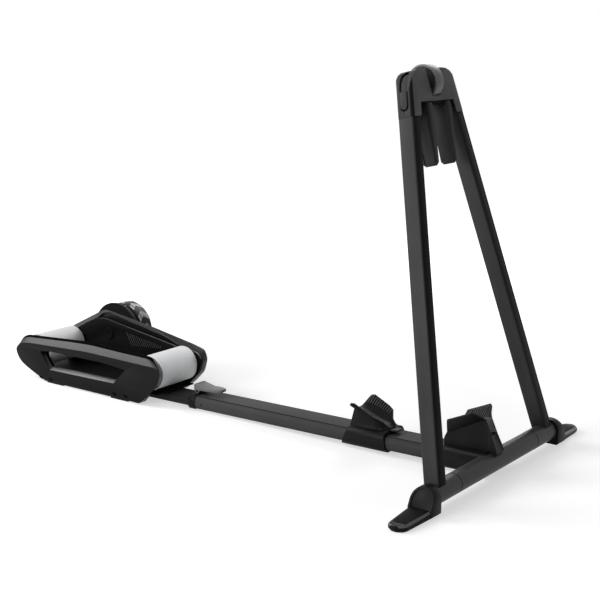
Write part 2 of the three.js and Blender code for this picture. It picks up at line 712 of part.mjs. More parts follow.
function chockLatch() {
  const tabBottom = latchTabHeight - latchTabThickness;
  const hubFront = latchPivot - latchHub;
  const side = [[latchFront, tabBottom], [latchFront, latchTabHeight], [hubFront, latchPivotHeight + latchHub * 0.9],
    [latchPivot, latchPivotHeight + latchHub], [latchRear, latchPivotHeight + latchHub * 0.6],
    [latchRear, spineTop + 2 * seat], [latchRear - latchHub, spineTop + 2 * seat],
    [latchPivot, latchPivotHeight - latchHub], [hubFront, latchPivotHeight - latchHub * 0.5]];
  const eye = bar(latchPinRadius + running, -latchHalf - overrun, latchHalf + overrun, latchPivot,
    latchPivotHeight, 16);
  return cut(prismX(side, -latchHalf, latchHalf), eye);
}
add(rail, 'chock_latch', chockLatch(), blackPlastic);
add(rail, 'latch_pin', bar(latchPinRadius, seat - latchPinHalf, latchPinHalf - seat, latchPivot,
  latchPivotHeight, 16), satinSteel);

// Legs: sections along the leg, sheared so that the legs lean toward each other.
const taper = (legFootHalf - legTopHalf) / frameHeight;
const sheared = (geometry, offset = 0) => geometry.applyMatrix4(
  new THREE.Matrix4().set(1, 0, -taper, legFootHalf - offset, 0, 1, 0, 0, 0, 0, 1, 0, 0, 0, 0, 1));

function leg() {
  const half = legDepth / 2;
  const outer = roundedBox(-legWidth, 0, -half, half, legCorner);
  const bore = roundedBox(legWall - legWidth, -legWall, legWall - half, half - legWall, legCorner - legWall);
  const groove = block(-legGroovePlace - legGroove, -legGroovePlace, -half - overrun, legGrooveDepth - half,
    legFoot - overrun, headSideBottom + overrun);
  const shaft = cut(prismZ(outer, legFoot, headSideBottom - seat, 3),
    prismZ(bore, legFoot - overrun, headSideBottom - 2 * legWall, 1), groove);
  const spigot = prismZ(roundedBox(spigotInset - legWidth, -spigotOuterInset, spigotInset - half,
    half - spigotInset, legCorner / 2), headSideBottom - 3 * legWall, headSideBottom + spigotLength, 2);
  const tubeRoom = bar(tubeRadius + seat, -legWidth, legFootHalf + overrun, 0, 0, 32);
  return cut(sheared(join(shaft, spigot)), tubeRoom);
}
addPair(frame, 'leg', leg(), blackAnodised);

// Head shell, in a front and a rear half
const outerAt = (height) => legFootHalf - taper * height;
function headFront(inset, low, notch) {
  const bottom = outerAt(low) + headProud - inset;
  const top = outerAt(frameHeight) + headProud - inset;
  const corner = headCorner - inset;
  const crown = frameHeight - inset;
  const notchHalf = outerAt(notch) - legWidth - headProud;
  const shape = new THREE.Shape();
  shape.moveTo(bottom, low);
  shape.lineTo(top + taper * corner, crown - corner);
  shape.quadraticCurveTo(top, crown, top - corner, crown);
  shape.lineTo(corner - top, crown);
  shape.quadraticCurveTo(-top, crown, -top - taper * corner, crown - corner);
  shape.lineTo(-bottom, low);
  if (notch > low) {
    const foot = outerAt(low) - legWidth - headProud;
    shape.lineTo(-foot, low);
    shape.lineTo(-notchHalf, notch);
    shape.lineTo(notchHalf, notch);
    shape.lineTo(foot, low);
  }
  return shape;
}

const headHalf = headDepth / 2;
function headEnvelope() {
  const solid = prismY(headFront(0, headSideBottom, headFrontBottom), -headHalf, headHalf, 5);
  const width = 2 * outerAt(headSideBottom);
  const cheek = sheared(prismZ(roundedBox(-width, headProud, -headHalf, headHalf, headEdge),
    headSideBottom - overrun, frameHeight + overrun, 3));
  return common(solid, cheek, mirroredX(cheek));
}

function headShell(front) {
  const inner = headHalf - headWall;
  const cavity = prismY(headFront(headWall, headSideBottom - overrun, 0), -inner, inner, 5);
  const slotBottom = wheelHeight - Math.sqrt(wheelRadius ** 2 - inner ** 2) - 2 * seat;
  const slotWaist = slotBottom + wheelSlotStraight;
  const wheelRoom = prismY([[-wheelSlotFoot, slotBottom], [wheelSlotFoot, slotBottom], [wheelSlotFoot, slotWaist],
    [wheelSlotTop, frameHeight + overrun], [-wheelSlotTop, frameHeight + overrun], [-wheelSlotFoot, slotWaist]],
  -headHalf - overrun, headHalf + overrun);
  const halfSpan = outerAt(headSideBottom) + overrun;
  const side = front
    ? block(-halfSpan, halfSpan, -seat / 2, headHalf + overrun, headSideBottom - overrun, frameHeight + overrun)
    : block(-halfSpan, halfSpan, -headHalf - overrun, seat / 2, headSideBottom - overrun, frameHeight + overrun);
  const rockerHole = rockerOpening();
  return cut(headEnvelope(), cavity, wheelRoom, side, rockerHole, mirroredX(rockerHole));
}

// Side rockers: an oblong in each side of the head that follows its curve, proud below and sunk above.
function rockerStadium(gap, endGap) {
  const half = rockerWidth / 2 - gap;
  const shape = new THREE.Shape();
  shape.moveTo(-half, rockerLow + endGap + half);
  shape.absarc(0, rockerLow + endGap + half, half, Math.PI, Math.PI * 2);
  shape.lineTo(half, rockerHigh - endGap - half);
  shape.absarc(0, rockerHigh - endGap - half, half, 0, Math.PI);
  return prismX(shape, outerAt(frameHeight) - headCorner, outerAt(headSideBottom) + overrun, 6);
}

const headLayer = (inset) => prismY(headFront(inset, headSideBottom - overrun, 0), -rockerWidth, rockerWidth, 5);
const rockerOpening = () => cut(rockerStadium(0, 0), headLayer(rockerHoleDepth));

function rocker() {
  const middle = (rockerLow + rockerHigh) / 2;
  const span = outerAt(headSideBottom) + overrun;
  const level = (z0, z1) => block(0, span, -rockerWidth, rockerWidth, z0, z1);
  const lower = common(headLayer(-rockerProud), level(rockerLow, middle));
  const upper = common(headLayer(rockerSunk), level(middle - seat, rockerHigh));
  return cut(common(rockerStadium(rockerGap, rockerEndGap), join(lower, upper)), headLayer(rockerBack));
}
add(frame, 'head_front_shell', headShell(true), blackPlastic);
add(frame, 'head_rear_shell', headShell(false), blackPlastic);
addPair(frame, 'rocker', rocker(), blackPlastic);

// Thumb wheel with a left and a right hand screw in its bore
const wheelBore = screwRadius + seat;
// The wheel's profile: shares of its half width and of its radius.
const thumbWheelShares = [[-1, 0.72], [-0.86, 0.78], [-0.86, 0.96], [-0.7, 1], [0.7, 1], [0.86, 0.96], [0.86, 0.78],
  [1, 0.72]];
const wheelProfile = thumbWheelShares.map(([across, out]) => [across * wheelHalf, out * wheelRadius]);
add(frame, 'thumb_wheel', turned([[-wheelHalf, wheelBore], ...wheelProfile, [wheelHalf, wheelBore]],
  0, wheelHeight, 28), greyPlastic);
const screwEnd = lugInner - 2 * seat;
addPair(frame, 'closing_screw', turned([[screwStart, 0], [screwStart, screwRadius],
  [screwEnd - screwTipLength, screwRadius], [screwEnd, screwTipRadius], [screwEnd, 0]], 0, wheelHeight, 16), satinSteel);

// Clamp arms on their pins, with rubber pads
const armFront = -headDepth / 2 - armProud;
const armRear = armFront + armDepth;
const armFootFront = armFront + armFrontSlant;
// The arm seen from its side, with a gap left all round for what lies inside it.
const armSide = (inset) => prismX([[armFootFront + inset, armBottom + armFootEase], [armFootFront + armFootEase, armBottom],
  [armRear - armFootEase, armBottom], [armRear - inset, armBottom + armFootEase], [armRear - inset, lugTop],
  [armFront + inset, lugTop], [armFront + inset, armNeckHeight]], 0, armTopOuter + overrun);
function clampArm() {
  const outline = [[armFootInner + padThickness + seat, armBottom], [armFootOuter, armBottom],
    [armTopOuter, armNeckHeight - legWidth / 2], [armTopOuter - armFlange, armNeckHeight], [lugOuter, armNeckHeight],
    [lugOuter, lugTop], [lugInner, lugTop], [lugInner, armNeckHeight], [armTopInner + padThickness, armNeckHeight - armFlange],
    [armTopInner + padThickness + seat, padTop + seat]];
  const arm = common(prismY(outline, armFront, armRear), armSide(0));
  const lugTrim = (y0, y1) => block(0, armTopOuter + overrun, y0, y1, armNeckHeight, lugTop + overrun);
  const outerRecess = prismY([[armFootOuter - armRecess, armBottom + armFlange],
    [armFootOuter + overrun, armBottom + armFlange], [armTopOuter + overrun, armNeckHeight - legWidth],
    [armTopOuter - armRecess, armNeckHeight - legWidth]], armFootFront + armFlange, armRear - armFlange);
  const eye = new THREE.CylinderGeometry(armPinRadius + running, armPinRadius + running, armDepth + overrun, 16)
    .translate(armPivotHalf, 0, armPivotHeight);
  return cut(arm, lugTrim(lugDepth / 2, headDepth), lugTrim(-headDepth, -lugDepth / 2), outerRecess, eye);
}
addPair(frame, 'clamp_arm', clampArm(), blackPlastic);

const padInset = 1.5 * seat;
addPair(frame, 'arm_pad', common(prismY([[armFootInner, armBottom], [armFootInner + padThickness, armBottom],
  [armTopInner + padThickness, padTop], [armTopInner, padTop]], armFront, armRear), armSide(padInset)), rubber);
addPair(frame, 'arm_pin', new THREE.CylinderGeometry(armPinRadius, armPinRadius,
  2 * (headHalf - headWall - seat), 16).translate(armPivotHalf, 0, armPivotHeight), satinSteel);

// Rear unit housings. Outlines go round the housing from the nose; along is a share of the drum
// spacing from the front drum, and up is a share of the drum's radius from the drums' axes.
const rearDrum = frontDrum + drumSpacing;
const floorUnder = (y) => (y * Math.sin(fall) - tubeAxisHeight) / Math.cos(fall);
const nearInnerShares = [[-0.087, 0.19], [-0.048, 0.72], [-0.01, 1.0], [0.07, 1.04], [0.5, 1.19], [1.09, 0.91],
  [1.145, 0.5], [1.162, 0.02], [1.116, -0.67], [1.02, -1.11]];
const nearFaceShares = [[-0.139, 0.19], [-0.128, 0.42], [-0.105, 0.54], [0.04, 0.57], [0.5, 0.69], [1.03, 0.56],
  [1.11, 0.44], [1.158, 0.03], [1.116, -0.67], [1.02, -1.11]];
const farInnerShares = [[-0.139, 0.19], [-0.118, 0.6], [-0.066, 0.8], [0.06, 0.84], [0.705, 1.81], [0.78, 1.73],
  [0.98, 0.85], [1.155, 0.05], [1.116, -0.67], [1.02, -1.11]];
const farFaceShares = [[-0.139, 0.3], [-0.115, 0.8], [-0.04, 0.99], [0.35, 1.66], [0.763, 2.24], [0.84, 1.88],
  [1.087, 0.75], [1.155, 0.05], [1.116, -0.67], [1.02, -1.11]];
const noseFootShares = [[-0.037, -1.18], [-0.113, -0.48]];
const nearNoseFootShares = [[-0.016, -1.18], [-0.068, -0.48]];
const footShares = [0.88, 0.04];
// How far each corner of the outline is eased, as shares of the drum's radius.
const easeShares = [0.22, 0.16, 0.3, 0.2, 0.5, 0.35, 0.4, 0.45, 0.45, 0.4, 0.1, 0.1, 0.2, 0.2];
const handleShares = [[0.918, 0.17], [0.824, 0.265], [0.37, 0.24], [0.153, 0.07], [0.26, -0.87], [0.83, -0.89]];

const unitPoint = ([along, up]) => [frontDrum + along * drumSpacing, drumHeight + up * drumRadius];
const footPoint = (along) => {
  const y = frontDrum + along * drumSpacing;
  return [y, floorUnder(y) + bottomClearance];
};
// Every corner becomes the same number of points, so that two outlines can be joined by a skin.
const easeTurns = 4;
function eased(outline) {
  return outline.flatMap((corner, i) => {
    const toward = (other) => {
      const span = Math.hypot(other[0] - corner[0], other[1] - corner[1]);
      const share = Math.min(easeShares[i] * drumRadius / span, 0.45);
      return new THREE.Vector2(corner[0] + (other[0] - corner[0]) * share, corner[1] + (other[1] - corner[1]) * share);
    };
    const curve = new THREE.QuadraticBezierCurve(toward(outline.at(i - 1)), new THREE.Vector2(...corner),
      toward(outline[(i + 1) % outline.length]));
    return curve.getPoints(easeTurns).map((point) => [point.x, point.y]);
  });
}
const housingOutline = (shares, noseFoot = noseFootShares) =>
  eased([...shares.map(unitPoint), ...footShares.map(footPoint), ...noseFoot.map(unitPoint)]);
const nearInnerOutline = housingOutline(nearInnerShares, nearNoseFootShares);

// Draws an outline in toward its middle by a wall's thickness.
function shrunk(outline, wall) {
  const centre = outline.reduce(([y, z], [py, pz]) => [y + py / outline.length, z + pz / outline.length], [0, 0]);
  return outline.map(([y, z]) => {
    const reach = Math.hypot(y - centre[0], (z - centre[1]));
    const steep = Math.abs(z - centre[1]) / reach;
    const pull = 1 - wall * (1 + steep) / reach;
    return [centre[0] + (y - centre[0]) * pull, z - Math.sign(z - centre[1]) * wall];
  });
}

const coverInner = housingInner + plateThickness + seat;
const handle = handleShares.map(unitPoint);
const handleRim = shrunk(handle, -shell);

function shaftHoles(radius, x0, x1, places) {
  return places.map(([y, z]) => bar(radius, x0, x1, y, z, 24));
}
const drumPlaces = [[frontDrum, drumHeight], [rearDrum, drumHeight]];
const flyPlace = [frontDrum + flywheelPlaceShare * drumSpacing, drumHeight + flywheelRise];
const inletPlace = frontDrum + inletSetback;
const bearingSeat = bearingRadius + seat;

function nearCover() {
  const body = loft([{ at: -housingHalf, outline: housingOutline(nearFaceShares) },
    { at: -coverInner, outline: nearInnerOutline }], alongX);
  const hollow = loft([{ at: shell - housingHalf, outline: shrunk(housingOutline(nearFaceShares), shell) },
    { at: overrun - coverInner, outline: shrunk(nearInnerOutline, shell) }], alongX);
  const tunnel = prismX(handleRim, shell / 2 - housingHalf, -coverInner);
  return cut(join(cut(body, hollow), tunnel), prismX(handle, -housingHalf - overrun, overrun - coverInner));
}
add(rail, 'near_outer_cover', nearCover(), blackPlastic);
add(rail, 'near_inner_plate', cut(
  prismX(nearInnerOutline, -housingInner - plateThickness, -housingInner),
  prismX(handle, -housingHalf, overrun - housingInner),
  ...shaftHoles(bearingSeat, -housingHalf, overrun - housingInner, drumPlaces)), blackPlastic);

function farCover() {
  const body = loft([{ at: coverInner, outline: housingOutline(farInnerShares) },
    { at: farHalf, outline: housingOutline(farFaceShares) }], alongX);
  const hollow = loft([{ at: coverInner - overrun, outline: shrunk(housingOutline(farInnerShares), shell) },
    { at: farHalf - shell, outline: shrunk(housingOutline(farFaceShares), shell) }], alongX);
  const inletRoom = bar(inletRadius + seat, coverInner, farHalf + overrun, inletPlace, inletHeight, 20);
  return cut(body, hollow, inletRoom,
    ...shaftHoles(bearingSeat, farHalf - 2 * shell, farHalf + overrun, [flyPlace]));
}
add(rail, 'far_outer_cover', farCover(), blackPlastic);
add(rail, 'far_inner_plate', cut(
  prismX(housingOutline(farInnerShares), housingInner, housingInner + plateThickness),
  ...shaftHoles(bearingSeat, housingInner - overrun, farHalf, [...drumPlaces, flyPlace])), blackPlastic);

// Pan under the drums, on top of the sliding tube, with a bevelled front edge
const panBottom = innerTop + seat;
const panTop = panBottom + panThickness;
function crossPan() {
  const half = housingInner - seat;
  const front = frontDrum - panLead;
  const rear = rearDrum + panTail;
  const side = [[front + panThickness, panBottom], [rear, panBottom], [rear, panTop], [front, panTop]];
  return prismX(side, -half, half);
}
add(rail, 'cross_pan', crossPan(), blackPlastic);

// Rubber pads that carry the unit; their feet are level on the floor.
const padShares = { front: 0.145, rear: 0.72 };
function unitPad(y0, outside) {
  const y1 = y0 + padWidth;
  const lift = bottomClearance - seat;
  const side = [[y0, floorUnder(y0)], [y1, floorUnder(y1)], [y1, floorUnder(y1) + lift], [y0, floorUnder(y0) + lift]];
  return prismX(side, outside - padReach, outside);
}
Object.entries(padShares).forEach(([name, along]) => {
  const y = frontDrum + along * drumSpacing;
  add(rail, `near_${name}_pad`, mirroredX(unitPad(y, housingHalf - shell)), rubber);
  add(rail, `far_${name}_pad`, unitPad(y, farHalf - shell), rubber);
});

// Drums on their shafts, in bearings seated in the inner plates
function drum(y) {
  const eye = shaftRadius + seat;
  return turned([[-drumHalf, eye], [-drumHalf, drumRadius - drumEase], [drumEase - drumHalf, drumRadius],
    [drumHalf - drumEase, drumRadius], [drumHalf, drumRadius - drumEase], [drumHalf, eye], [drumHalf - drumEnd, eye],
    [drumHalf - drumEnd, drumRadius - drumWall], [drumEnd - drumHalf, drumRadius - drumWall],
    [drumEnd - drumHalf, eye]], y, drumHeight, 28);
}
const shaftLeft = -housingInner - plateThickness - shaftEnd;
add(rail, 'front_drum', drum(frontDrum), drumAluminium);
add(rail, 'rear_drum', drum(rearDrum), drumAluminium);
add(rail, 'front_drum_shaft', bar(shaftRadius, shaftLeft, -shaftLeft, frontDrum, drumHeight), satinSteel);
add(rail, 'rear_drum_shaft', bar(shaftRadius, shaftLeft, pulleyOuter, rearDrum, drumHeight), satinSteel);

const bearing = (bore, x0, y, z) => ring(bearingRadius, bore + running, x0, x0 + plateThickness, y, z, 16);
[['front', frontDrum], ['rear', rearDrum]].forEach(([name, y]) => {
  add(rail, `${name}_left_bearing`, bearing(shaftRadius, -housingInner - plateThickness, y, drumHeight), satinSteel);
  add(rail, `${name}_right_bearing`, bearing(shaftRadius, housingInner, y, drumHeight), satinSteel);
});
const [flyY, flyZ] = flyPlace;
const outerBearing = farHalf - shell + seat;
add(rail, 'flywheel_inner_bearing', bearing(flyShaftRadius, housingInner, flyY, flyZ), satinSteel);
add(rail, 'flywheel_outer_bearing', bearing(flyShaftRadius, outerBearing - seat, flyY, flyZ), satinSteel);

// Belt drive from the rear drum up to the flywheel
const pulleyRim = (radius) => [[pulleyInner, radius + pulleyFlange], [pulleyInner + pulleyLip, radius + pulleyFlange],
  [pulleyInner + pulleyLip, radius], [pulleyOuter - pulleyLip, radius],
  [pulleyOuter - pulleyLip, radius + pulleyFlange], [pulleyOuter, radius + pulleyFlange]];
const pulleyBore = shaftRadius + seat;
add(rail, 'drum_pulley', turned([[pulleyInner, pulleyBore], ...pulleyRim(drumPulleyRadius), [pulleyOuter, pulleyBore]],
  rearDrum, drumHeight, 28), greyPlastic);

function beltLoop(extra) {
  const large = drumPulleyRadius + seat + extra;
  const small = flyPulleyRadius + seat + extra;
  const run = Math.atan2(flyZ - drumHeight, flyY - rearDrum);
  const spread = Math.acos((large - small) / Math.hypot(flyZ - drumHeight, flyY - rearDrum));
  const path = new THREE.Path();
  path.absarc(rearDrum, drumHeight, large, run + spread, run - spread + Math.PI * 2);
  path.absarc(flyY, flyZ, small, run - spread, run + spread);
  return path.getPoints(12).map((point) => [point.x, point.y]);
}
const beltStart = (pulleyInner + pulleyOuter - beltWidth) / 2;
add(rail, 'drive_belt', cut(prismX(beltLoop(beltThickness), beltStart, beltStart + beltWidth),
  prismX(beltLoop(0), beltStart - overrun, beltStart + beltWidth + overrun)), rubber);

// Flywheel outboard of the far housing, its shroud and brake
const webMiddle = (flywheelInner + flywheelOuter) / 2;
add(rail, 'flywheel', turned([
  [flywheelInner, flyShaftRadius + seat], [flywheelInner, hubRadius], [webMiddle - flywheelWeb / 2, hubRadius],
  [webMiddle - flywheelWeb / 2, flywheelRadius - flywheelRim], [flywheelInner, flywheelRadius - flywheelRim],
  [flywheelInner, flywheelRadius - flywheelBevel], [flywheelInner + flywheelBevel, flywheelRadius],
  [flywheelOuter - flywheelEase, flywheelRadius], [flywheelOuter, flywheelRadius - flywheelEase],
  [flywheelOuter, flywheelRadius - flywheelRim], [webMiddle + flywheelWeb / 2, flywheelRadius - flywheelRim],
  [webMiddle + flywheelWeb / 2, hubRadius], [flywheelOuter, hubRadius],
  [flywheelOuter, flyShaftRadius + seat]], flyY, flyZ, 32), flywheelSteel);
// The small pulley is cut in one with the flywheel's shaft.
const flyShaftStart = housingInner - shaftEnd;
const flyShaftEnd = flywheelOuter - shaftEnd;
add(rail, 'flywheel_shaft', turned([[flyShaftStart, 0], [flyShaftStart, flyShaftRadius],
  [pulleyInner, flyShaftRadius], ...pulleyRim(flyPulleyRadius), [pulleyOuter, flyShaftRadius],
  [flyShaftEnd, flyShaftRadius], [flyShaftEnd, 0]], flyY, flyZ, 24), satinSteel);

function flywheelShroud() {
  const start = farHalf + seat;
  const foot = shroudRadius + shroudWall;
  const lip = shroudRadius - 2 * shroudWall;
  const inside = lip - shroudWall;
  return turned([[start, bearingRadius + seat], [start, foot], [start + shroudWall, foot],
    [shroudOuter - shroudWall, shroudRadius], [shroudOuter, lip], [shroudOuter, inside],
    [shroudOuter - shroudWall, inside], [start + shroudWall, shroudRadius - shroudWall],
    [start + shroudWall, bearingRadius + seat]], flyY, flyZ, 28);
}
add(rail, 'flywheel_shroud', flywheelShroud(), blackPlastic);
const statorStart = farHalf + seat + shroudWall + seat;
add(rail, 'brake_stator', ring(statorOuter, statorInner, statorStart, statorStart + statorWidth, flyY, flyZ, 20), satinSteel);

// Circuit board on the far inner plate, and the power inlet
const boardStart = frontDrum + boardSetback;
add(rail, 'circuit_board', block(coverInner, coverInner + boardThickness, boardStart, boardStart + boardLength,
  drumHeight - boardHeight / 2, drumHeight + boardHeight / 2), boardGreen);
add(rail, 'power_inlet', cut(bar(inletRadius, farHalf - inletLength, farHalf + shell, inletPlace, inletHeight, 20),
  bar(inletHole, farHalf - inletLength / 2, farHalf + overrun, inletPlace, inletHeight, 12)), blackPlastic);

// The stand is centred over the origin.
rollers.updateMatrixWorld(true);
const bounds = new THREE.Box3().setFromObject(rollers, true);
rollers.position.y = -(bounds.min.y + bounds.max.y) / 2;
rollers.updateMatrixWorld(true);

export default rollers;
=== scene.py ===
import json
import math

import bpy
from mathutils import Matrix, Vector


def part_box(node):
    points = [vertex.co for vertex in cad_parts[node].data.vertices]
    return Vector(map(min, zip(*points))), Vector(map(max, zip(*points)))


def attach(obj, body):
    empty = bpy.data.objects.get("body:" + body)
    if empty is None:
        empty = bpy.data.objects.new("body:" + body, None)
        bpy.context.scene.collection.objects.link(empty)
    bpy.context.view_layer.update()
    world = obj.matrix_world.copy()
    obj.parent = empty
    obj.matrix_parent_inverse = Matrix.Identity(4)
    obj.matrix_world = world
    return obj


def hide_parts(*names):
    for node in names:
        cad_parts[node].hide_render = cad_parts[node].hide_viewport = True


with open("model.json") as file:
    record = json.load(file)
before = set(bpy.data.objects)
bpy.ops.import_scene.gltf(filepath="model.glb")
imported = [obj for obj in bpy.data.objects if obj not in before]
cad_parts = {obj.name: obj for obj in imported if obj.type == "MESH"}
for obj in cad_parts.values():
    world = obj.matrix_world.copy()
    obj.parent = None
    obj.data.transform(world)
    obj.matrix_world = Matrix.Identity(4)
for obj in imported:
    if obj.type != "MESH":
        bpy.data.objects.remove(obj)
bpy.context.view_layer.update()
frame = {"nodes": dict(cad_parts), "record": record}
nodes = frame["nodes"]

# The stand's three working planes, as in its CAD source: the base, the falling spine and the leaning
# frame. All three start from the cross tube's axis. Pieces are drawn in them in millimetres.
stand = {"axisHeight": 0.030, "fall": math.radians(0.9), "lean": math.radians(14)}
tubeLow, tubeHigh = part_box("cross_tube")
basePlace = Matrix.Translation((0, (tubeLow.y + tubeHigh.y) / 2, stand["axisHeight"]))
spinePlace = basePlace @ Matrix.Rotation(-stand["fall"], 4, "X")
legPlace = basePlace @ Matrix.Rotation(-stand["lean"], 4, "X")

# The photograph's camera: lens and sensor in millimetres, place in metres, and two directions
camera = {"lens": 77.29, "sensor": 36, "clip": (0.1, 60), "place": (-2.239, -1.7725, 0.8928),
          "right": (0.5869, -0.8095, 0.0127), "view": (0.7929, 0.5715, -0.2114)}


def makeCamera():
    data = bpy.data.cameras.new("camera")
    data.lens = camera["lens"]
    data.sensor_width = camera["sensor"]
    data.clip_start, data.clip_end = camera["clip"]
    made = bpy.data.objects.new("camera", data)
    bpy.context.scene.collection.objects.link(made)
    view = Vector(camera["view"]).normalized()
    right = Vector(camera["right"])
    right = (right - view * right.dot(view)).normalized()
    up = right.cross(view)
    turn = Matrix((right, up, -view)).transposed().to_4x4()
    made.matrix_world = Matrix.Translation(camera["place"]) @ turn
    bpy.context.scene.camera = made


def linear(code):
    # sRGB hex to Blender's linear colour
    parts = [int(code[i:i + 2], 16) / 255 for i in (0, 2, 4)]
    return [p / 12.92 if p <= 0.04045 else ((p + 0.055) / 1.055) ** 2.4 for p in parts] + [1]


def addNode(tree, kind, inputs=None, **settings):
    # adds a node, sets it up and links what is given as a socket
    made = tree.nodes.new(kind)
    for name, value in settings.items():
        setattr(made, name, value)
    for socket, value in (inputs or {}).items():
        if isinstance(value, bpy.types.NodeSocket):
            tree.links.new(value, made.inputs[socket])
        else:
            made.inputs[socket].default_value = value
    return made


def seenRays(tree):
    # 1 where the camera, a reflection or a clear material looks at it
    path = addNode(tree, "ShaderNodeLightPath")
    first = addNode(tree, "ShaderNodeMath", {0: path.outputs["Is Camera Ray"],
                                             1: path.outputs["Is Glossy Ray"]}, operation="MAXIMUM")
    return addNode(tree, "ShaderNodeMath", {0: first.outputs[0], 1: path.outputs["Is Transmission Ray"]},
                   operation="MAXIMUM").outputs[0]


# The paper sweep: it keeps the stand's shadow, and glows more from fadeFrom to fadeTo metres out
studio = {"ambient": 0.06, "radius": 14, "sides": 96, "floorColour": "cacaca", "floorGlow": 0.55,
          "fadeFrom": 0.6, "fadeTo": 1.9}


def makeStudio():
    world = bpy.data.worlds.new("studio")
    bpy.context.scene.world = world
    world.use_nodes = True
    tree = world.node_tree
    tree.nodes.clear()
    strength = addNode(tree, "ShaderNodeMapRange", {"Value": seenRays(tree), "To Min": studio["ambient"],
                                                    "To Max": 1.0})
    light = addNode(tree, "ShaderNodeBackground", {"Color": (1, 1, 1, 1), "Strength": strength.outputs[0]})
    addNode(tree, "ShaderNodeOutputWorld", {"Surface": light.outputs[0]})

    bpy.ops.mesh.primitive_circle_add(vertices=studio["sides"], radius=studio["radius"], fill_type="NGON",
                                      location=(0, 0, 0))
    floor = bpy.context.object
    floor.name = "floor"
    paper = bpy.data.materials.new("whitePaperSweep")
    paper.use_nodes = True
    tree = paper.node_tree
    tree.nodes.clear()
    spot = addNode(tree, "ShaderNodeTexCoord").outputs["Object"]
    away = addNode(tree, "ShaderNodeVectorMath", {0: spot}, operation="LENGTH").outputs["Value"]
    faded = addNode(tree, "ShaderNodeMapRange", {"Value": away, "From Min": studio["fadeFrom"],
                    "From Max": studio["fadeTo"], "To Min": studio["floorGlow"], "To Max": 1.0})
    glow = addNode(tree, "ShaderNodeMath", {0: seenRays(tree), 1: faded.outputs[0]}, operation="MULTIPLY")
    matt = addNode(tree, "ShaderNodeBsdfDiffuse", {"Color": linear(studio["floorColour"])})
    shine = addNode(tree, "ShaderNodeEmission", {"Color": (1, 1, 1, 1), "Strength": glow.outputs[0]})
    both = addNode(tree, "ShaderNodeAddShader", {0: matt.outputs[0], 1: shine.outputs[0]})
    addNode(tree, "ShaderNodeOutputMaterial", {"Surface": both.outputs[0]})
    floor.data.materials.append(paper)


# Each softbox: where it hangs, what it looks at and its size in metres, and its power in watts
lamps = {
    "key": {"place": (-1.25, 2.49, 1.95), "aim": (0, 0.3, 0), "size": (1.7, 1.7), "power": 80},
    "left": {"place": (-3.0, 0.5, 1.0), "aim": (0, 0.1, 0.3), "size": (1.4, 1.4), "power": 62},
    "overhead": {"place": (0.2, -0.1, 2.6), "aim": (0, 0, 0), "size": (2.6, 2.6), "power": 10},
    "right": {"place": (2.4, 0.5, 1.9), "aim": (0, 0, 0.1), "size": (1.4, 1.2), "power": 24},
}


def makeLamps():
    for name, lamp in lamps.items():
        data = bpy.data.lights.new(name, "AREA")
        data.shape = "RECTANGLE"
        data.size, data.size_y = lamp["size"]
        data.energy = lamp["power"]
        made = bpy.data.objects.new(name, data)
        bpy.context.scene.collection.objects.link(made)
        made.location = lamp["place"]
        made.rotation_mode = "QUATERNION"
        made.rotation_quaternion = (Vector(lamp["aim"]) - Vector(lamp["place"])).to_track_quat("-Z", "Y")
        made.visible_camera = False


bpy.context.scene.view_settings.view_transform = "Standard"
makeCamera()
makeStudio()
makeLamps()
print("camera, studio and lamps made")


def finish(name):
    # an empty material, its node tree and its Object coordinates
    made = bpy.data.materials.new(name)
    made.use_nodes = True
    tree = made.node_tree
    tree.nodes.clear()
    return made, tree, addNode(tree, "ShaderNodeTexCoord").outputs["Object"]


def tint(tree, value, low, high):
    # two shades of a colour, chosen by a value from 0 to 1
    return addNode(tree, "ShaderNodeMix", {"Factor": value, "A": linear(low), "B": linear(high)},
                   data_type="RGBA").outputs["Result"]


def spread(tree, value, low, high, fromLow=0.0, fromHigh=1.0):
    return addNode(tree, "ShaderNodeMapRange", {"Value": value, "From Min": fromLow, "From Max": fromHigh,
                                                "To Min": low, "To Max": high}).outputs[0]


def shaderOut(tree, colour, rough, height, depth, **constants):
    # the shader and its bump, which is depth metres high
    bump = addNode(tree, "ShaderNodeBump", {"Height": height, "Distance": depth, "Strength": 1.0})
    skin = addNode(tree, "ShaderNodeBsdfPrincipled", {"Base Color": colour, "Roughness": rough,
                                                      "Normal": bump.outputs[0], **constants})
    addNode(tree, "ShaderNodeOutputMaterial", {"Surface": skin.outputs[0]})


# Grain and streaks in millimetres, clouding in turns to the metre
anodised = {"dark": "343434", "light": "3d3d3d", "grain": 1.3, "streak": 0.9, "drawnOut": 0.01, "clouds": 9.0,
            "tintRange": (0.4, 1.1), "rough": 0.42, "smoother": 0.05, "rougher": 0.06, "bump": 0.00004}


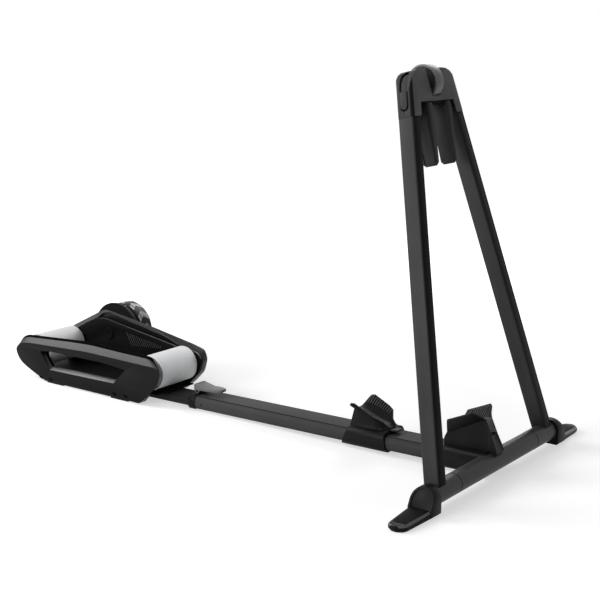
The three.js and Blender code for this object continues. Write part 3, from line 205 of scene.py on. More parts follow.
def anodisedAluminium(name, place, alongAxis, shades=None, specular=0.08):
    # bead-blasted, black anodised aluminium extrusion: soft broad highlights, a fine grain that
    # is drawn at 1.3 mm because the real 0.1 mm one doesn't show, and faint die lines along it
    dark, light = shades or (anodised["dark"], anodised["light"])
    made, tree, spot = finish(name)
    aligned = addNode(tree, "ShaderNodeMapping", {"Vector": spot, "Rotation": place.to_euler()}).outputs[0]
    grain = addNode(tree, "ShaderNodeTexNoise", {"Vector": spot, "Scale": 1000 / anodised["grain"],
                                                 "Detail": 3.0, "Roughness": 0.6}).outputs[0]
    thin = [1.0, 1.0, 1.0]
    thin[alongAxis] = anodised["drawnOut"]
    drawn = addNode(tree, "ShaderNodeVectorMath", {0: aligned, 1: thin}, operation="MULTIPLY").outputs[0]
    lines = addNode(tree, "ShaderNodeTexNoise", {"Vector": drawn, "Scale": 1000 / anodised["streak"],
                                                 "Detail": 2.0}).outputs[0]
    cloud = addNode(tree, "ShaderNodeTexNoise", {"Vector": spot, "Scale": anodised["clouds"],
                                                 "Detail": 2.0}).outputs[0]
    shade = addNode(tree, "ShaderNodeMath", {0: grain, 1: lines, 2: cloud}, operation="MULTIPLY_ADD").outputs[0]
    colour = tint(tree, spread(tree, shade, 0, 1, *anodised["tintRange"]), dark, light)
    rough = spread(tree, lines, anodised["rough"] - anodised["smoother"],
                   anodised["rough"] + anodised["rougher"])
    shaderOut(tree, colour, rough, grain, anodised["bump"], **{"Specular IOR Level": specular})
    return made


# Grain in millimetres, fine noise and flow clouding in turns to the metre
moulded = {"grain": 1.1, "fine": 2400.0, "fineShare": 0.35, "clouds": 14.0, "tintRange": (0.3, 0.7),
           "rough": 0.52, "smoother": 0.05, "rougher": 0.07, "bump": 0.00005}


def mouldedNylon(name, dark, light, rough=moulded["rough"], specular=0.28):
    # injection-moulded glass-filled nylon with a spark-eroded skin: matt, with a leathery grain
    # of about 1.1 mm and slight flow clouding
    made, tree, spot = finish(name)
    grain = addNode(tree, "ShaderNodeTexVoronoi", {"Vector": spot, "Scale": 1000 / moulded["grain"],
                                                   "Randomness": 1.0}, feature="SMOOTH_F1").outputs["Distance"]
    fine = addNode(tree, "ShaderNodeTexNoise", {"Vector": spot, "Scale": moulded["fine"],
                                                "Detail": 2.0}).outputs[0]
    cloud = addNode(tree, "ShaderNodeTexNoise", {"Vector": spot, "Scale": moulded["clouds"], "Detail": 3.0,
                                                 "Roughness": 0.55}).outputs[0]
    colour = tint(tree, spread(tree, cloud, 0, 1, *moulded["tintRange"]), dark, light)
    roughness = spread(tree, grain, rough - moulded["smoother"], rough + moulded["rougher"])
    height = addNode(tree, "ShaderNodeMath", {0: fine, 1: moulded["fineShare"], 2: grain},
                     operation="MULTIPLY_ADD").outputs[0]
    shaderOut(tree, colour, roughness, height, moulded["bump"], **{"Specular IOR Level": specular, "IOR": 1.5})
    return made


# Rows of vents round the shroud's axis, in millimetres: their pitch and the radius they are spaced at
vents = {"centre": (0, 1128, 99), "pitch": 5.0, "radius": 70, "edgeFrom": 0.2, "edgeTo": 0.3, "depth": 0.0012,
         "rough": 0.45, "roughInside": 0.8}


def perforatedNylon(name, place, dark, light, specular):
    # moulded black nylon with the shroud's rows of small round vents, which let the brake's heat out
    made, tree, spot = finish(name)
    origin = place @ Vector([c / 1000 for c in vents["centre"]])
    local = addNode(tree, "ShaderNodeVectorMath", {0: spot, 1: tuple(origin)}, operation="SUBTRACT").outputs[0]
    parts = addNode(tree, "ShaderNodeSeparateXYZ", {0: local})
    angle = addNode(tree, "ShaderNodeMath", {0: parts.outputs["Y"], 1: parts.outputs["Z"]},
                    operation="ARCTAN2").outputs[0]
    rows = addNode(tree, "ShaderNodeMath", {0: parts.outputs["X"], 1: 1000 / vents["pitch"]},
                   operation="MULTIPLY").outputs[0]
    around = round(2 * math.pi * vents["radius"] / vents["pitch"])
    steps = addNode(tree, "ShaderNodeMath", {0: angle, 1: around / (2 * math.pi)},
                    operation="MULTIPLY").outputs[0]
    row = addNode(tree, "ShaderNodeMath", {0: rows, 1: 1.0}, operation="PINGPONG").outputs[0]
    step = addNode(tree, "ShaderNodeMath", {0: steps, 1: 1.0}, operation="PINGPONG").outputs[0]
    cell = addNode(tree, "ShaderNodeCombineXYZ", {"X": row, "Y": step}).outputs[0]
    away = addNode(tree, "ShaderNodeVectorMath", {0: cell, 1: (0.5, 0.5, 0)},
                   operation="DISTANCE").outputs["Value"]
    solid = spread(tree, away, 0, 1, vents["edgeFrom"], vents["edgeTo"])
    # The vents' insides are darker than the nylon round them: painted shade.
    colour = tint(tree, solid, dark, light)
    shaderOut(tree, colour, spread(tree, solid, vents["roughInside"], vents["rough"]), solid, vents["depth"],
              **{"Specular IOR Level": specular, "IOR": 1.5})
    return made


# Pebble and dust in turns to the metre
rubberSkin = {"pebbles": 900.0, "dust": 60.0, "tintRange": (0.35, 0.7), "smoothest": 0.72, "roughest": 0.86,
              "bump": 0.00006}


def mouldedRubber(name, dark="141414", light="1d1d1d", specular=0.3):
    # moulded natural rubber: dull, dusty highlights and a fine pebble
    made, tree, spot = finish(name)
    pebble = addNode(tree, "ShaderNodeTexVoronoi", {"Vector": spot, "Scale": rubberSkin["pebbles"]},
                     feature="SMOOTH_F1").outputs["Distance"]
    dust = addNode(tree, "ShaderNodeTexNoise", {"Vector": spot, "Scale": rubberSkin["dust"],
                                                "Detail": 4.0}).outputs[0]
    colour = tint(tree, spread(tree, dust, 0, 1, *rubberSkin["tintRange"]), dark, light)
    rough = spread(tree, pebble, rubberSkin["smoothest"], rubberSkin["roughest"])
    shaderOut(tree, colour, rough, pebble, rubberSkin["bump"], **{"Specular IOR Level": specular, "IOR": 1.52})
    return made


# Clouding in turns to the metre
turned = {"clouds": 22.0, "cloudShare": 0.4, "tintRange": (0.45, 1.0), "smoother": 0.05, "rougher": 0.08,
          "bump": 0.00002}


def turnedMetal(name, place, centre, low, high, pitch, rough):
    # lathe-turned metal: fine tool lines round its axis, drawn at a pitch that shows, and
    # highlights drawn out across them; centre and pitch are in millimetres
    made, tree, spot = finish(name)
    origin = place @ Vector([c / 1000 for c in centre])
    local = addNode(tree, "ShaderNodeVectorMath", {0: spot, 1: tuple(origin)}, operation="SUBTRACT").outputs[0]
    parts = addNode(tree, "ShaderNodeSeparateXYZ", {0: local})
    flat = addNode(tree, "ShaderNodeCombineXYZ", {"Y": parts.outputs["Y"], "Z": parts.outputs["Z"]}).outputs[0]
    out = addNode(tree, "ShaderNodeVectorMath", {0: flat}, operation="LENGTH").outputs["Value"]
    # lines run round: they change with the place along the axis and with the radius
    along = addNode(tree, "ShaderNodeCombineXYZ", {"X": parts.outputs["X"], "Y": out}).outputs[0]
    lines = addNode(tree, "ShaderNodeTexNoise", {"Vector": along, "Scale": 1000 / pitch, "Detail": 4.0,
                                                 "Roughness": 0.7}).outputs[0]
    cloud = addNode(tree, "ShaderNodeTexNoise", {"Vector": local, "Scale": turned["clouds"],
                                                 "Detail": 2.0}).outputs[0]
    mixed = addNode(tree, "ShaderNodeMath", {0: cloud, 1: turned["cloudShare"], 2: lines},
                    operation="MULTIPLY_ADD").outputs[0]
    colour = tint(tree, spread(tree, mixed, 0, 1, *turned["tintRange"]), low, high)
    roughness = spread(tree, lines, rough - turned["smoother"], rough + turned["rougher"])
    shaderOut(tree, colour, roughness, lines, turned["bump"], **{"Metallic": 1.0})
    return made


# Each finish: its material's name, its darker and its lighter shade, and what differs from the usual
finishes = {
    "spineAnodised": anodisedAluminium("blackAnodisedSpine", spinePlace, 1, ("3c3c3c", "454545"), 0.02),
    "tubeAnodised": anodisedAluminium("blackAnodisedTube", basePlace, 0, specular=0.2),
    "innerAnodised": anodisedAluminium("blackAnodisedInner", spinePlace, 1, ("1c1c1c", "242424"), 0.12),
    "legAnodised": anodisedAluminium("blackAnodisedLeg", legPlace, 2),
    "shellNylon": mouldedNylon("blackNylonShell", "0d0d0d", "121212", rough=0.36, specular=0.21),
    "wallNylon": mouldedNylon("blackNylonWall", "080808", "0c0c0c", rough=0.5, specular=0.04),
    "panNylon": mouldedNylon("blackNylonPan", "090909", "0d0d0d", rough=0.6, specular=0.05),
    "footNylon": mouldedNylon("blackNylonFoot", "101010", "151515", rough=0.42, specular=0.08),
    "headNylon": mouldedNylon("charcoalNylonHead", "383838", "404040", rough=0.5, specular=0.06),
    # painted light: a much lighter copy of the head's nylon, for its front faces
    "frontFacePaintedLight": mouldedNylon("greyNylonFacePaintedLight", "868686", "8e8e8e", rough=0.5, specular=0.06),
    # painted shade on the rounded corners between the head's sides and front
    "cornerPaintedShade": mouldedNylon("blackNylonCornerPaintedShade", "161616", "1c1c1c", rough=0.4, specular=0.05),
    # painted shade: a darker copy of the legs' anodised finish, for their front faces
    "legFrontPaintedShade": anodisedAluminium("blackAnodisedLegFrontPaintedShade", legPlace, 2, ("181818", "1f1f1f"), 0.03),
    # painted shade: a darker copy of the cover's nylon, for the near cover's flat face
    "flatFacePaintedShade": mouldedNylon("blackNylonFlatPaintedShade", "070707", "0b0b0b", rough=0.5, specular=0.1),
    # painted shade: near-black, for gaps, seams, grooves and slots
    "paintedShadeNylon": mouldedNylon("blackNylonPaintedShade", "020202", "040404", rough=0.8, specular=0.02),
    # a painted highlight along the far wall's upward-facing rim
    "rimPaintedHighlight": mouldedNylon("blackNylonRimPaintedHighlight", "444444", "4c4c4c", rough=0.36, specular=0.3),
    # shinier chamfer finish, its lighter colour a painted highlight
    "polishedEdgePaintedHighlight": mouldedNylon("polishedNylonEdgePaintedHighlight", "444444", "4c4c4c", rough=0.32, specular=0.5),
    "bootNylon": mouldedNylon("blackNylonBoot", "0b0b0b", "0f0f0f", rough=0.42, specular=0.08),
    "chockNylon": mouldedNylon("blackNylonChock", "161616", "1c1c1c", rough=0.42, specular=0.1),
    # painted light: a lighter grey for the chock's shaded channel walls
    "channelPaintedLight": mouldedNylon("greyNylonChannelPaintedLight", "666666", "747474", rough=0.55, specular=0.1),
    "treadRubber": mouldedRubber("blackTreadRubber", "070707", "0b0b0b", 0.1),
    "lipNylon": mouldedNylon("blackNylonLip", "242424", "2c2c2c", rough=0.36, specular=0.4),
    "armNylon": mouldedNylon("charcoalNylonArm", "2c2c2c", "333333", rough=0.48, specular=0.06),
    "leverNylon": mouldedNylon("greyNylonLever", "56575a", "5f6063", rough=0.42, specular=0.4),
    "wheelNylon": mouldedNylon("greyNylonWheel", "636466", "6d6e70", rough=0.45, specular=0.4),
    "pulleyNylon": mouldedNylon("greyNylonPulley", "5b5c5e", "666769"),
    "rubber": mouldedRubber("blackRubber"),
    "meshNylon": perforatedNylon("blackNylonVents", spinePlace, "020202", "0f0f0f", 0.06),
    "louvreNylon": mouldedNylon("blackNylonLouvre", "383838", "404040", rough=0.4, specular=0.3),
    # the ribs are drawn in a lighter grey than the chock
    "ribNylon": mouldedNylon("lightGreyNylonRib", "4a4a4a", "565656", rough=0.4, specular=0.3),
    "flywheelBlack": mouldedNylon("blackPaintedFlywheel", "0a0a0a", "0f0f0f", rough=0.34, specular=0.1),
    "chevronSilver": mouldedNylon("silverPrint", "b4b5b6", "c2c3c4", rough=0.35, specular=0.4),
    "drumSilver": turnedMetal("satinDrumAluminium", spinePlace, (0, 875, 60), "b4b5b6", "c2c3c4", 1.6, 0.76),
    "blackSteel": turnedMetal("blackenedSteel", spinePlace, (0, 743, 29), "161617", "202022", 0.6, 0.5),
    "pinSteel": turnedMetal("groundSteel", spinePlace, (0, 875, 60), "8f9194", "b0b2b5", 0.6, 0.3),
    "flywheelSteel": turnedMetal("turnedFlywheelSteel", spinePlace, vents["centre"], "8b8c8e", "b9babc",
                                 0.9, 0.36),
    "boardGreen": mouldedNylon("solderMaskGreen", "15402a", "1d5236", rough=0.35, specular=0.5),
}
print("finishes made:", len(finishes))

# Which CAD nodes wear which finish
dressing = {
    "spineAnodised": ["spine_tube"],
    "innerAnodised": ["inner_tube"],
    "tubeAnodised": ["cross_tube", "right_pivot_sleeve", "left_pivot_sleeve"],
    "legAnodised": ["right_leg", "left_leg"],
    "shellNylon": ["near_outer_cover", "far_outer_cover", "power_inlet"],
    "wallNylon": ["near_inner_plate", "far_inner_plate"],
    "panNylon": ["cross_pan"],
    "meshNylon": ["flywheel_shroud"],
    "bootNylon": ["right_boot", "left_boot"],
    "chockNylon": ["front_chock"],
    "footNylon": ["spine_joint", "spine_collar", "rear_chock", "chock_latch"],
    "headNylon": ["head_front_shell", "head_rear_shell", "right_rocker", "left_rocker"],
    "armNylon": ["right_clamp_arm", "left_clamp_arm"],
    "leverNylon": ["cam_lever"],
    "wheelNylon": ["thumb_wheel"],
    "pulleyNylon": ["drum_pulley"],
    "rubber": ["right_sole", "left_sole", "near_front_pad", "near_rear_pad", "far_front_pad", "far_rear_pad",
               "drive_belt", "right_arm_pad", "left_arm_pad"],
    "drumSilver": ["front_drum", "rear_drum"],
    "blackSteel": ["lever_pin"],
    "pinSteel": ["pivot_axle", "latch_pin", "front_drum_shaft", "rear_drum_shaft", "front_left_bearing",
                 "front_right_bearing", "rear_left_bearing", "rear_right_bearing", "flywheel_inner_bearing",
                 "flywheel_outer_bearing", "flywheel_shaft", "brake_stator", "right_closing_screw",
                 "left_closing_screw", "right_arm_pin", "left_arm_pin"],
    "flywheelSteel": ["flywheel"],
    "boardGreen": ["circuit_board"],
}
finishOf = {node: finishes[name] for name, members in dressing.items() for node in members}
bodyOf = {node: body for body, members in frame["record"]["behaviour"]["bodies"].items() for node in members}
for node, material in finishOf.items():
    nodes[node].data.materials.clear()
    nodes[node].data.materials.append(material)
print("nodes dressed:", len(finishOf))


def only(piece):
    # nothing else stays selected
    if bpy.context.object and bpy.context.object.mode != "OBJECT":
        bpy.ops.object.mode_set(mode="OBJECT")
    bpy.ops.object.select_all(action="DESELECT")
    piece.select_set(True)
    bpy.context.view_layer.objects.active = piece


def edit(piece, kind="FACE", chosen=None):
    # enters edit mode with the faces, edges or corners selected for which chosen() is true
    only(piece)
    mesh = piece.data
    for items in (mesh.vertices, mesh.edges, mesh.polygons):
        items.foreach_set("select", [chosen is None] * len(items))
    if chosen and kind == "FACE":
        for face in mesh.polygons:
            face.select = chosen(face.center, face.normal)
    if chosen and kind == "EDGE":
        for edge in mesh.edges:
            edge.select = chosen(*(mesh.vertices[i].co for i in edge.vertices))
    if chosen and kind == "VERT":
        for corner in mesh.vertices:
            corner.select = chosen(corner.co)
    bpy.context.tool_settings.mesh_select_mode = (kind == "VERT", kind == "EDGE", kind == "FACE")
    bpy.ops.object.mode_set(mode="EDIT")


def leave():
    bpy.ops.object.mode_set(mode="OBJECT")


def outward(piece):
    # turns every face outwards again
    edit(piece)
    bpy.ops.mesh.normals_make_consistent(inside=False)
    leave()


def bevelled(piece, width, segments=2, angle=32):
    # rounds the edges sharper than angle, by width millimetres
    only(piece)
    bevel = piece.modifiers.new("edges", "BEVEL")
    bevel.width, bevel.segments = width / 1000, segments
    bevel.limit_method, bevel.angle_limit = "ANGLE", math.radians(angle)
    bevel.miter_outer = "MITER_ARC"
    bpy.ops.object.modifier_apply(modifier=bevel.name)
    bpy.ops.object.shade_smooth_by_angle(angle=math.radians(angle))


def finished(piece, name, body, material, place=None, stands=()):
    # puts the piece's place in its mesh, and rides it on its body
    only(piece)
    if place is not None:
        piece.data.transform(place)
    piece.name = name
    piece.data.materials.clear()
    piece.data.materials.append(material)
    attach(piece, body)
    if stands:
        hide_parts(*stands)
    return piece


# Before rounding, corners this close in metres and faces this flat in degrees are joined
joined = {"gap": 0.000002, "flatDegrees": 0.6}


def roundedCopy(node, width):
    # the node's own form with its hard edges rounded as moulding and anodising leave them
    copy = bpy.data.objects.new(node + "_rounded", nodes[node].data.copy())
    bpy.context.scene.collection.objects.link(copy)
    edit(copy)
    bpy.ops.mesh.remove_doubles(threshold=joined["gap"])
    bpy.ops.mesh.dissolve_limited(angle_limit=math.radians(joined["flatDegrees"]))
    leave()
    bevelled(copy, width)
    return finished(copy, node + "_rounded", bodyOf[node], finishOf[node], stands=[node])


# Edge radii in millimetres
edgeRadius = {
    "near_outer_cover": 1.6, "far_outer_cover": 1.6, "near_inner_plate": 1.2, "far_inner_plate": 1.6,
    "cross_pan": 0.6, "right_boot": 0.8, "left_boot": 0.8, "spine_joint": 1.0, "spine_collar": 0.6,
    "front_chock": 1.1, "rear_chock": 1.0, "chock_latch": 0.7, "right_leg": 1.2, "left_leg": 1.2,
    "head_front_shell": 2.0, "head_rear_shell": 0.9, "right_rocker": 0.6, "left_rocker": 0.6,
    "right_clamp_arm": 1.4, "left_clamp_arm": 1.4, "cam_lever": 1.2, "right_sole": 0.5, "left_sole": 0.5,
    "near_front_pad": 0.6, "near_rear_pad": 0.6, "far_front_pad": 0.6, "far_rear_pad": 0.6,
    "right_arm_pad": 0.8, "left_arm_pad": 0.8, "spine_tube": 0.4, "inner_tube": 0.4,
}
rounded = {node: roundedCopy(node, width) for node, width in edgeRadius.items()}
print("rounded copies made:", len(rounded))


def faced(piece, material, chosen):
    # a second finish on the faces that chosen() picks by their place and normal
    piece.data.materials.append(material)
    piece.active_material_index = len(piece.data.materials) - 1
    edit(piece, "FACE", chosen)
    bpy.ops.object.material_slot_assign()
    leave()


# Second finishes on the same forms. The numbers are cosines between a face's normal and a direction,
# where nothing else is said.
forward = legPlace.to_3x3() @ Vector((0, -1, 0))
headFaces = {"cornerSide": (0.2, 0.97), "cornerFront": 0.1, "front": 0.97}
cornerFrom, cornerTo = headFaces["cornerSide"]
shellPiece = rounded["head_front_shell"]
# The rounded corners between the head's sides and front are darker: painted shade.
faced(shellPiece, finishes["cornerPaintedShade"],
      lambda spot, normal: cornerFrom < abs(normal.x) < cornerTo
      and normal.dot(forward) > headFaces["cornerFront"])
# The head's front faces are a much lighter copy of its nylon: painted light.
faced(shellPiece, finishes["frontFacePaintedLight"], lambda spot, normal: normal.dot(forward) > headFaces["front"])

# The rockers are drawn this much smaller, which widens the gap round them to what the eye sees
rockerShare = (1, 0.88, 0.95)
for node in ("right_rocker", "left_rocker"):
    low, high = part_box(node)
    edit(rounded[node])
    bpy.ops.transform.resize(value=rockerShare, center_override=(low + high) / 2,
                             orient_matrix=legPlace.to_3x3(), orient_type="GLOBAL", orient_matrix_type="GLOBAL")
    leave()

frameFaces = {"armSide": -0.5, "legFrontPaintedShade": 0.9}
# The arms' faces turned to -X, the side the lamps light, take the lighter charcoal of the head: painted light.
for node in ("right_clamp_arm", "left_clamp_arm"):
    faced(rounded[node], finishes["headNylon"], lambda spot, normal: normal.x < frameFaces["armSide"])
# The legs' front faces take the darker copy of their finish: painted shade.
for node in ("right_leg", "left_leg"):
    faced(rounded[node], finishes["legFrontPaintedShade"],
          lambda spot, normal: normal.dot(forward) > frameFaces["legFrontPaintedShade"])

# The toes' chamfers get a shinier finish, and its much lighter colour is a painted highlight: how far up they
# look, and how far out in metres they start
toeChamfer = {"up": (0.35, 0.94), "from": 0.3}
leastUp, mostUp = toeChamfer["up"]
for node in ("right_boot", "left_boot"):
    faced(rounded[node], finishes["polishedEdgePaintedHighlight"],
          lambda spot, normal: leastUp < normal.z < mostUp and abs(spot.x) > toeChamfer["from"])

# The two housings: the near cover's flat face in painted shade, a painted highlight on the far wall's rim, and
# bands of painted shade at the joints, which reach so many millimetres into each cover
unitFaces = {"flat": -0.96, "rim": 0.4, "acrossJoint": 0.99,
             "jointReach": {"near_outer_cover": 4.2, "far_outer_cover": 1.6}}
# The near cover's flat face is a darker copy of its nylon: painted shade.
faced(rounded["near_outer_cover"], finishes["flatFacePaintedShade"], lambda spot, normal: normal.x < unitFaces["flat"])
# The far wall's upward-facing rim is a much lighter grey: a painted highlight.
faced(rounded["far_inner_plate"], finishes["rimPaintedHighlight"], lambda spot, normal: normal.z > unitFaces["rim"])
# Painted shade: a near-black band along each cover's joint with its plate.
for node, reach in unitFaces["jointReach"].items():
    low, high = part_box(node)
    line = high.x - reach / 1000 if high.x < 0 else low.x + reach / 1000
    edit(rounded[node])
    bpy.ops.mesh.bisect(plane_co=(line, 0, 0), plane_no=(1, 0, 0))
    leave()
    faced(rounded[node], finishes["paintedShadeNylon"],
          lambda spot, normal: abs(spot.x) < abs(line) and abs(normal.x) < unitFaces["acrossJoint"])
# The near inner plate's edges, between the covers and the drums, are painted shade.
faced(rounded["near_inner_plate"], finishes["paintedShadeNylon"],
      lambda spot, normal: abs(normal.x) < unitFaces["acrossJoint"])

# The side walls of the tyre channel in the front chock, in a much lighter grey that is painted light in their
# shade: its half width in metres
channel = {"half": 0.0125, "side": 0.9}
faced(rounded["front_chock"], finishes["channelPaintedLight"],
      lambda spot, normal: abs(normal.x) > channel["side"] and abs(spot.x) < channel["half"]
      and spot.x * normal.x < 0)
print("second finishes set")


def applied(piece):
    # puts the object's place, turn and size in its mesh
    only(piece)
    bpy.ops.object.transform_apply(location=True, rotation=True, scale=True)
    return piece


def cylinder(sides, radius, x0, x1, y, z, ends="NGON"):
    # a cylinder along X, all in millimetres
    bpy.ops.object.select_all(action="DESELECT")
    bpy.ops.mesh.primitive_cylinder_add(vertices=sides, radius=radius / 1000, depth=(x1 - x0) / 1000,
                                        end_fill_type=ends, rotation=(0, math.pi / 2, 0),
                                        location=((x0 + x1) / 2000, y / 1000, z / 1000))
    return applied(bpy.context.object)


def cuboid(x0, x1, y0, y1, z0, z1):
    # a block between two corners, in millimetres
    bpy.ops.object.select_all(action="DESELECT")
    bpy.ops.mesh.primitive_cube_add(size=1, location=((x0 + x1) / 2000, (y0 + y1) / 2000, (z0 + z1) / 2000))
    piece = bpy.context.object
    piece.scale = ((x1 - x0) / 1000, (y1 - y0) / 1000, (z1 - z0) / 1000)
    return applied(piece)


def steppedEnd(piece, side, steps):
    # works one end of a cylinder along X inward: each step is how far in and how deep, in millimetres
    edit(piece, "FACE", lambda centre, normal: normal.x * side > 0.9999)
    for inward, depth in steps:
        bpy.ops.mesh.inset(thickness=inward / 1000, depth=depth / 1000, use_even_offset=True)
    leave()


def shifted(piece, chosen, dy=0.0, dz=0.0):
    # moves the corners that chosen() picks, in millimetres
    edit(piece, "VERT", chosen)
    bpy.ops.transform.translate(value=(0, dy / 1000, dz / 1000))
    leave()


def edgeBevel(piece, chosen, width, segments, **shape):
    # bevels only the edges that chosen() picks, by width millimetres
    edit(piece, "EDGE", chosen)
    bpy.ops.mesh.bevel(offset=width / 1000, segments=segments, **shape)
    leave()


def thickened(piece, width, side):
    # gives an open sheet a thickness in millimetres, outward with side 1 and inward with side -1
    only(piece)
    sheet = piece.modifiers.new("thickness", "SOLIDIFY")
    sheet.thickness, sheet.offset = width / 1000, side
    bpy.ops.object.modifier_apply(modifier=sheet.name)


def twin(piece, change):
    # a copy with a mesh of its own, moved by a matrix
    copy = bpy.data.objects.new(piece.name + "_copy", piece.data.copy())
    bpy.context.scene.collection.objects.link(copy)
    copy.data.transform(change)
    return copy


# The stand's two sides by the sign of their X, and the turn of one into the other
sides = {"left": -1, "right": 1}
mirror = Matrix.Scale(-1, 4, Vector((1, 0, 0)))


def onLine(start, end, width, height, sunk=0.3):
    # a slim bar from start to end on a surface, in millimetres, its width along Y; it stands out to
    # the side that is 90 degrees left of the line seen from the front, and its top is a little crowned
    start, end = Vector(start) / 1000, Vector(end) / 1000
    along = (end - start).normalized()
    out = Vector((-along.z, 0, along.x)).normalized()
    across = out.cross(along)
    half = (end - start).length * 500
    bar = cuboid(-half, half, -width / 2, width / 2, -sunk, height)
    edit(bar, "FACE", lambda centre, normal: normal.z > 0.9)
    bpy.ops.mesh.inset(thickness=width / 5000)
    bpy.ops.transform.translate(value=(0, 0, height / 4000))
    leave()
    middle = (start + end) / 2
    bar.data.transform(Matrix.Translation(middle) @ Matrix((along, across, out)).transposed().to_4x4())
    return bar


# Rear unit: drums. The end's steps are a rolled rim, the recessed cap and its hub.
drum = {"radius": 41.5, "half": 61, "sides": 96, "height": 60, "places": {"front": 875, "rear": 1255},
        "end": [(3.4, 0), (0.5, -3.5), (18, 0), (1.2, 2.8), (10, 0)], "edge": 0.6}
for name, y in drum["places"].items():
    barrel = cylinder(drum["sides"], drum["radius"], -drum["half"], drum["half"], y, drum["height"])
    for side in sides.values():
        steppedEnd(barrel, side, drum["end"])
    bevelled(barrel, drum["edge"], 3, 30)
    node = name + "_drum"
    finished(barrel, node + "_turned", node, finishes["drumSilver"], spinePlace, [node])
print("drums made")

# Rear unit: flywheel with its printed chevrons
wheel = {"radius": 69, "inner": 107, "outer": 150, "y": 1128, "z": 99, "sides": 128, "edge": 0.5,
         "innerBevel": 7, "outerBevel": 2, "innerEnd": [(9, 0), (0.6, -15), (35, 0), (0.6, 14.8), (6, 0)],
         "outerEnd": [(14, 0), (0.6, -15), (35, 0), (0.6, 14.8), (6, 0)]}
spun = cylinder(wheel["sides"], wheel["radius"], wheel["inner"], wheel["outer"], wheel["y"], wheel["z"])
innerLimit, outerLimit = (wheel["inner"] + 1) / 1000, (wheel["outer"] - 1) / 1000
edgeBevel(spun, lambda a, b: a.x < innerLimit and b.x < innerLimit, wheel["innerBevel"], 3, profile=0.62)
steppedEnd(spun, -1, wheel["innerEnd"])
edgeBevel(spun, lambda a, b: a.x > outerLimit and b.x > outerLimit, wheel["outerBevel"], 2)
steppedEnd(spun, 1, wheel["outerEnd"])
bevelled(spun, wheel["edge"], 2, 35)
finished(spun, "flywheel_turned", "flywheel", finishes["flywheelBlack"], spinePlace,
         ["flywheel"])

# One chevron is cut from a sleeve round the rim, bent at its middle, given a thickness and copied round
chevrons = {"count": 12, "from": 113, "to": 149, "degrees": 15, "lean": 12, "clear": 0.12, "thick": 0.3,
            "sides": 160}
chevron = cylinder(chevrons["sides"], wheel["radius"] + chevrons["clear"], chevrons["from"], chevrons["to"],
                   wheel["y"], wheel["z"], "NOTHING")
midway = (chevrons["from"] + chevrons["to"]) / 2000
hubPlace = Vector((midway, wheel["y"] / 1000, wheel["z"] / 1000))
edit(chevron)
bpy.ops.mesh.bisect(plane_co=hubPlace, plane_no=(1, 0, 0))
leave()
reach = math.radians(chevrons["degrees"]) / 2
edit(chevron, "FACE",
     lambda centre, normal: abs(math.atan2(centre.y - hubPlace.y, centre.z - hubPlace.z)) > reach)
bpy.ops.mesh.delete(type="FACE")
leave()
edit(chevron, "VERT", lambda spot: abs(spot.x - midway) < 0.0005)
bpy.ops.transform.rotate(value=math.radians(chevrons["lean"]), orient_axis="X", center_override=hubPlace)
leave()
thickened(chevron, chevrons["thick"], 1)
bpy.ops.object.shade_smooth_by_angle(angle=math.radians(30))
for i in range(chevrons["count"]):
    turn = Matrix.Rotation(2 * math.pi * i / chevrons["count"], 4, "X")
    turn = Matrix.Translation(hubPlace) @ turn @ Matrix.Translation(-hubPlace)
    finished(twin(chevron, turn), "flywheel_chevron_" + str(i + 1), "flywheel", finishes["chevronSilver"],
             spinePlace)
bpy.data.objects.remove(chevron)
print("flywheel made")

# Rear unit: the bright screws on the shroud's shoulder, each with its socket
studs = {"radius": 2.5, "sides": 24, "x0": 99.5, "x1": 103.4, "out": 67.8, "degrees": [8, 17, 98, 188, 278],
         "socket": [(1.2, 0), (0.1, -1)], "edge": 0.3}
for i, degrees in enumerate(studs["degrees"]):
    turn = math.radians(degrees)
    stud = cylinder(studs["sides"], studs["radius"], studs["x0"], studs["x1"],
                    wheel["y"] - studs["out"] * math.sin(turn), wheel["z"] + studs["out"] * math.cos(turn))
    steppedEnd(stud, 1, studs["socket"])
    bevelled(stud, studs["edge"])
    finished(stud, "shroud_screw_" + str(i + 1), "roller_unit", finishes["pinSteel"],
             spinePlace)
print("shroud screws made")

# Rear unit: cap over the flywheel's bearing, on the far wall's inner face
wallFace = 64
capShape = {"radius": 14.4, "sides": 48, "proud": 2.4, "sunk": 0.2, "end": [(3, 0.4), (0.5, -0.7)], "edge": 0.5}
cap = cylinder(capShape["sides"], capShape["radius"], wallFace - capShape["proud"], wallFace + capShape["sunk"],
               wheel["y"], wheel["z"])
steppedEnd(cap, -1, capShape["end"])
bevelled(cap, capShape["edge"])
finished(cap, "bearing_cap", "roller_unit", finishes["wallNylon"], spinePlace)

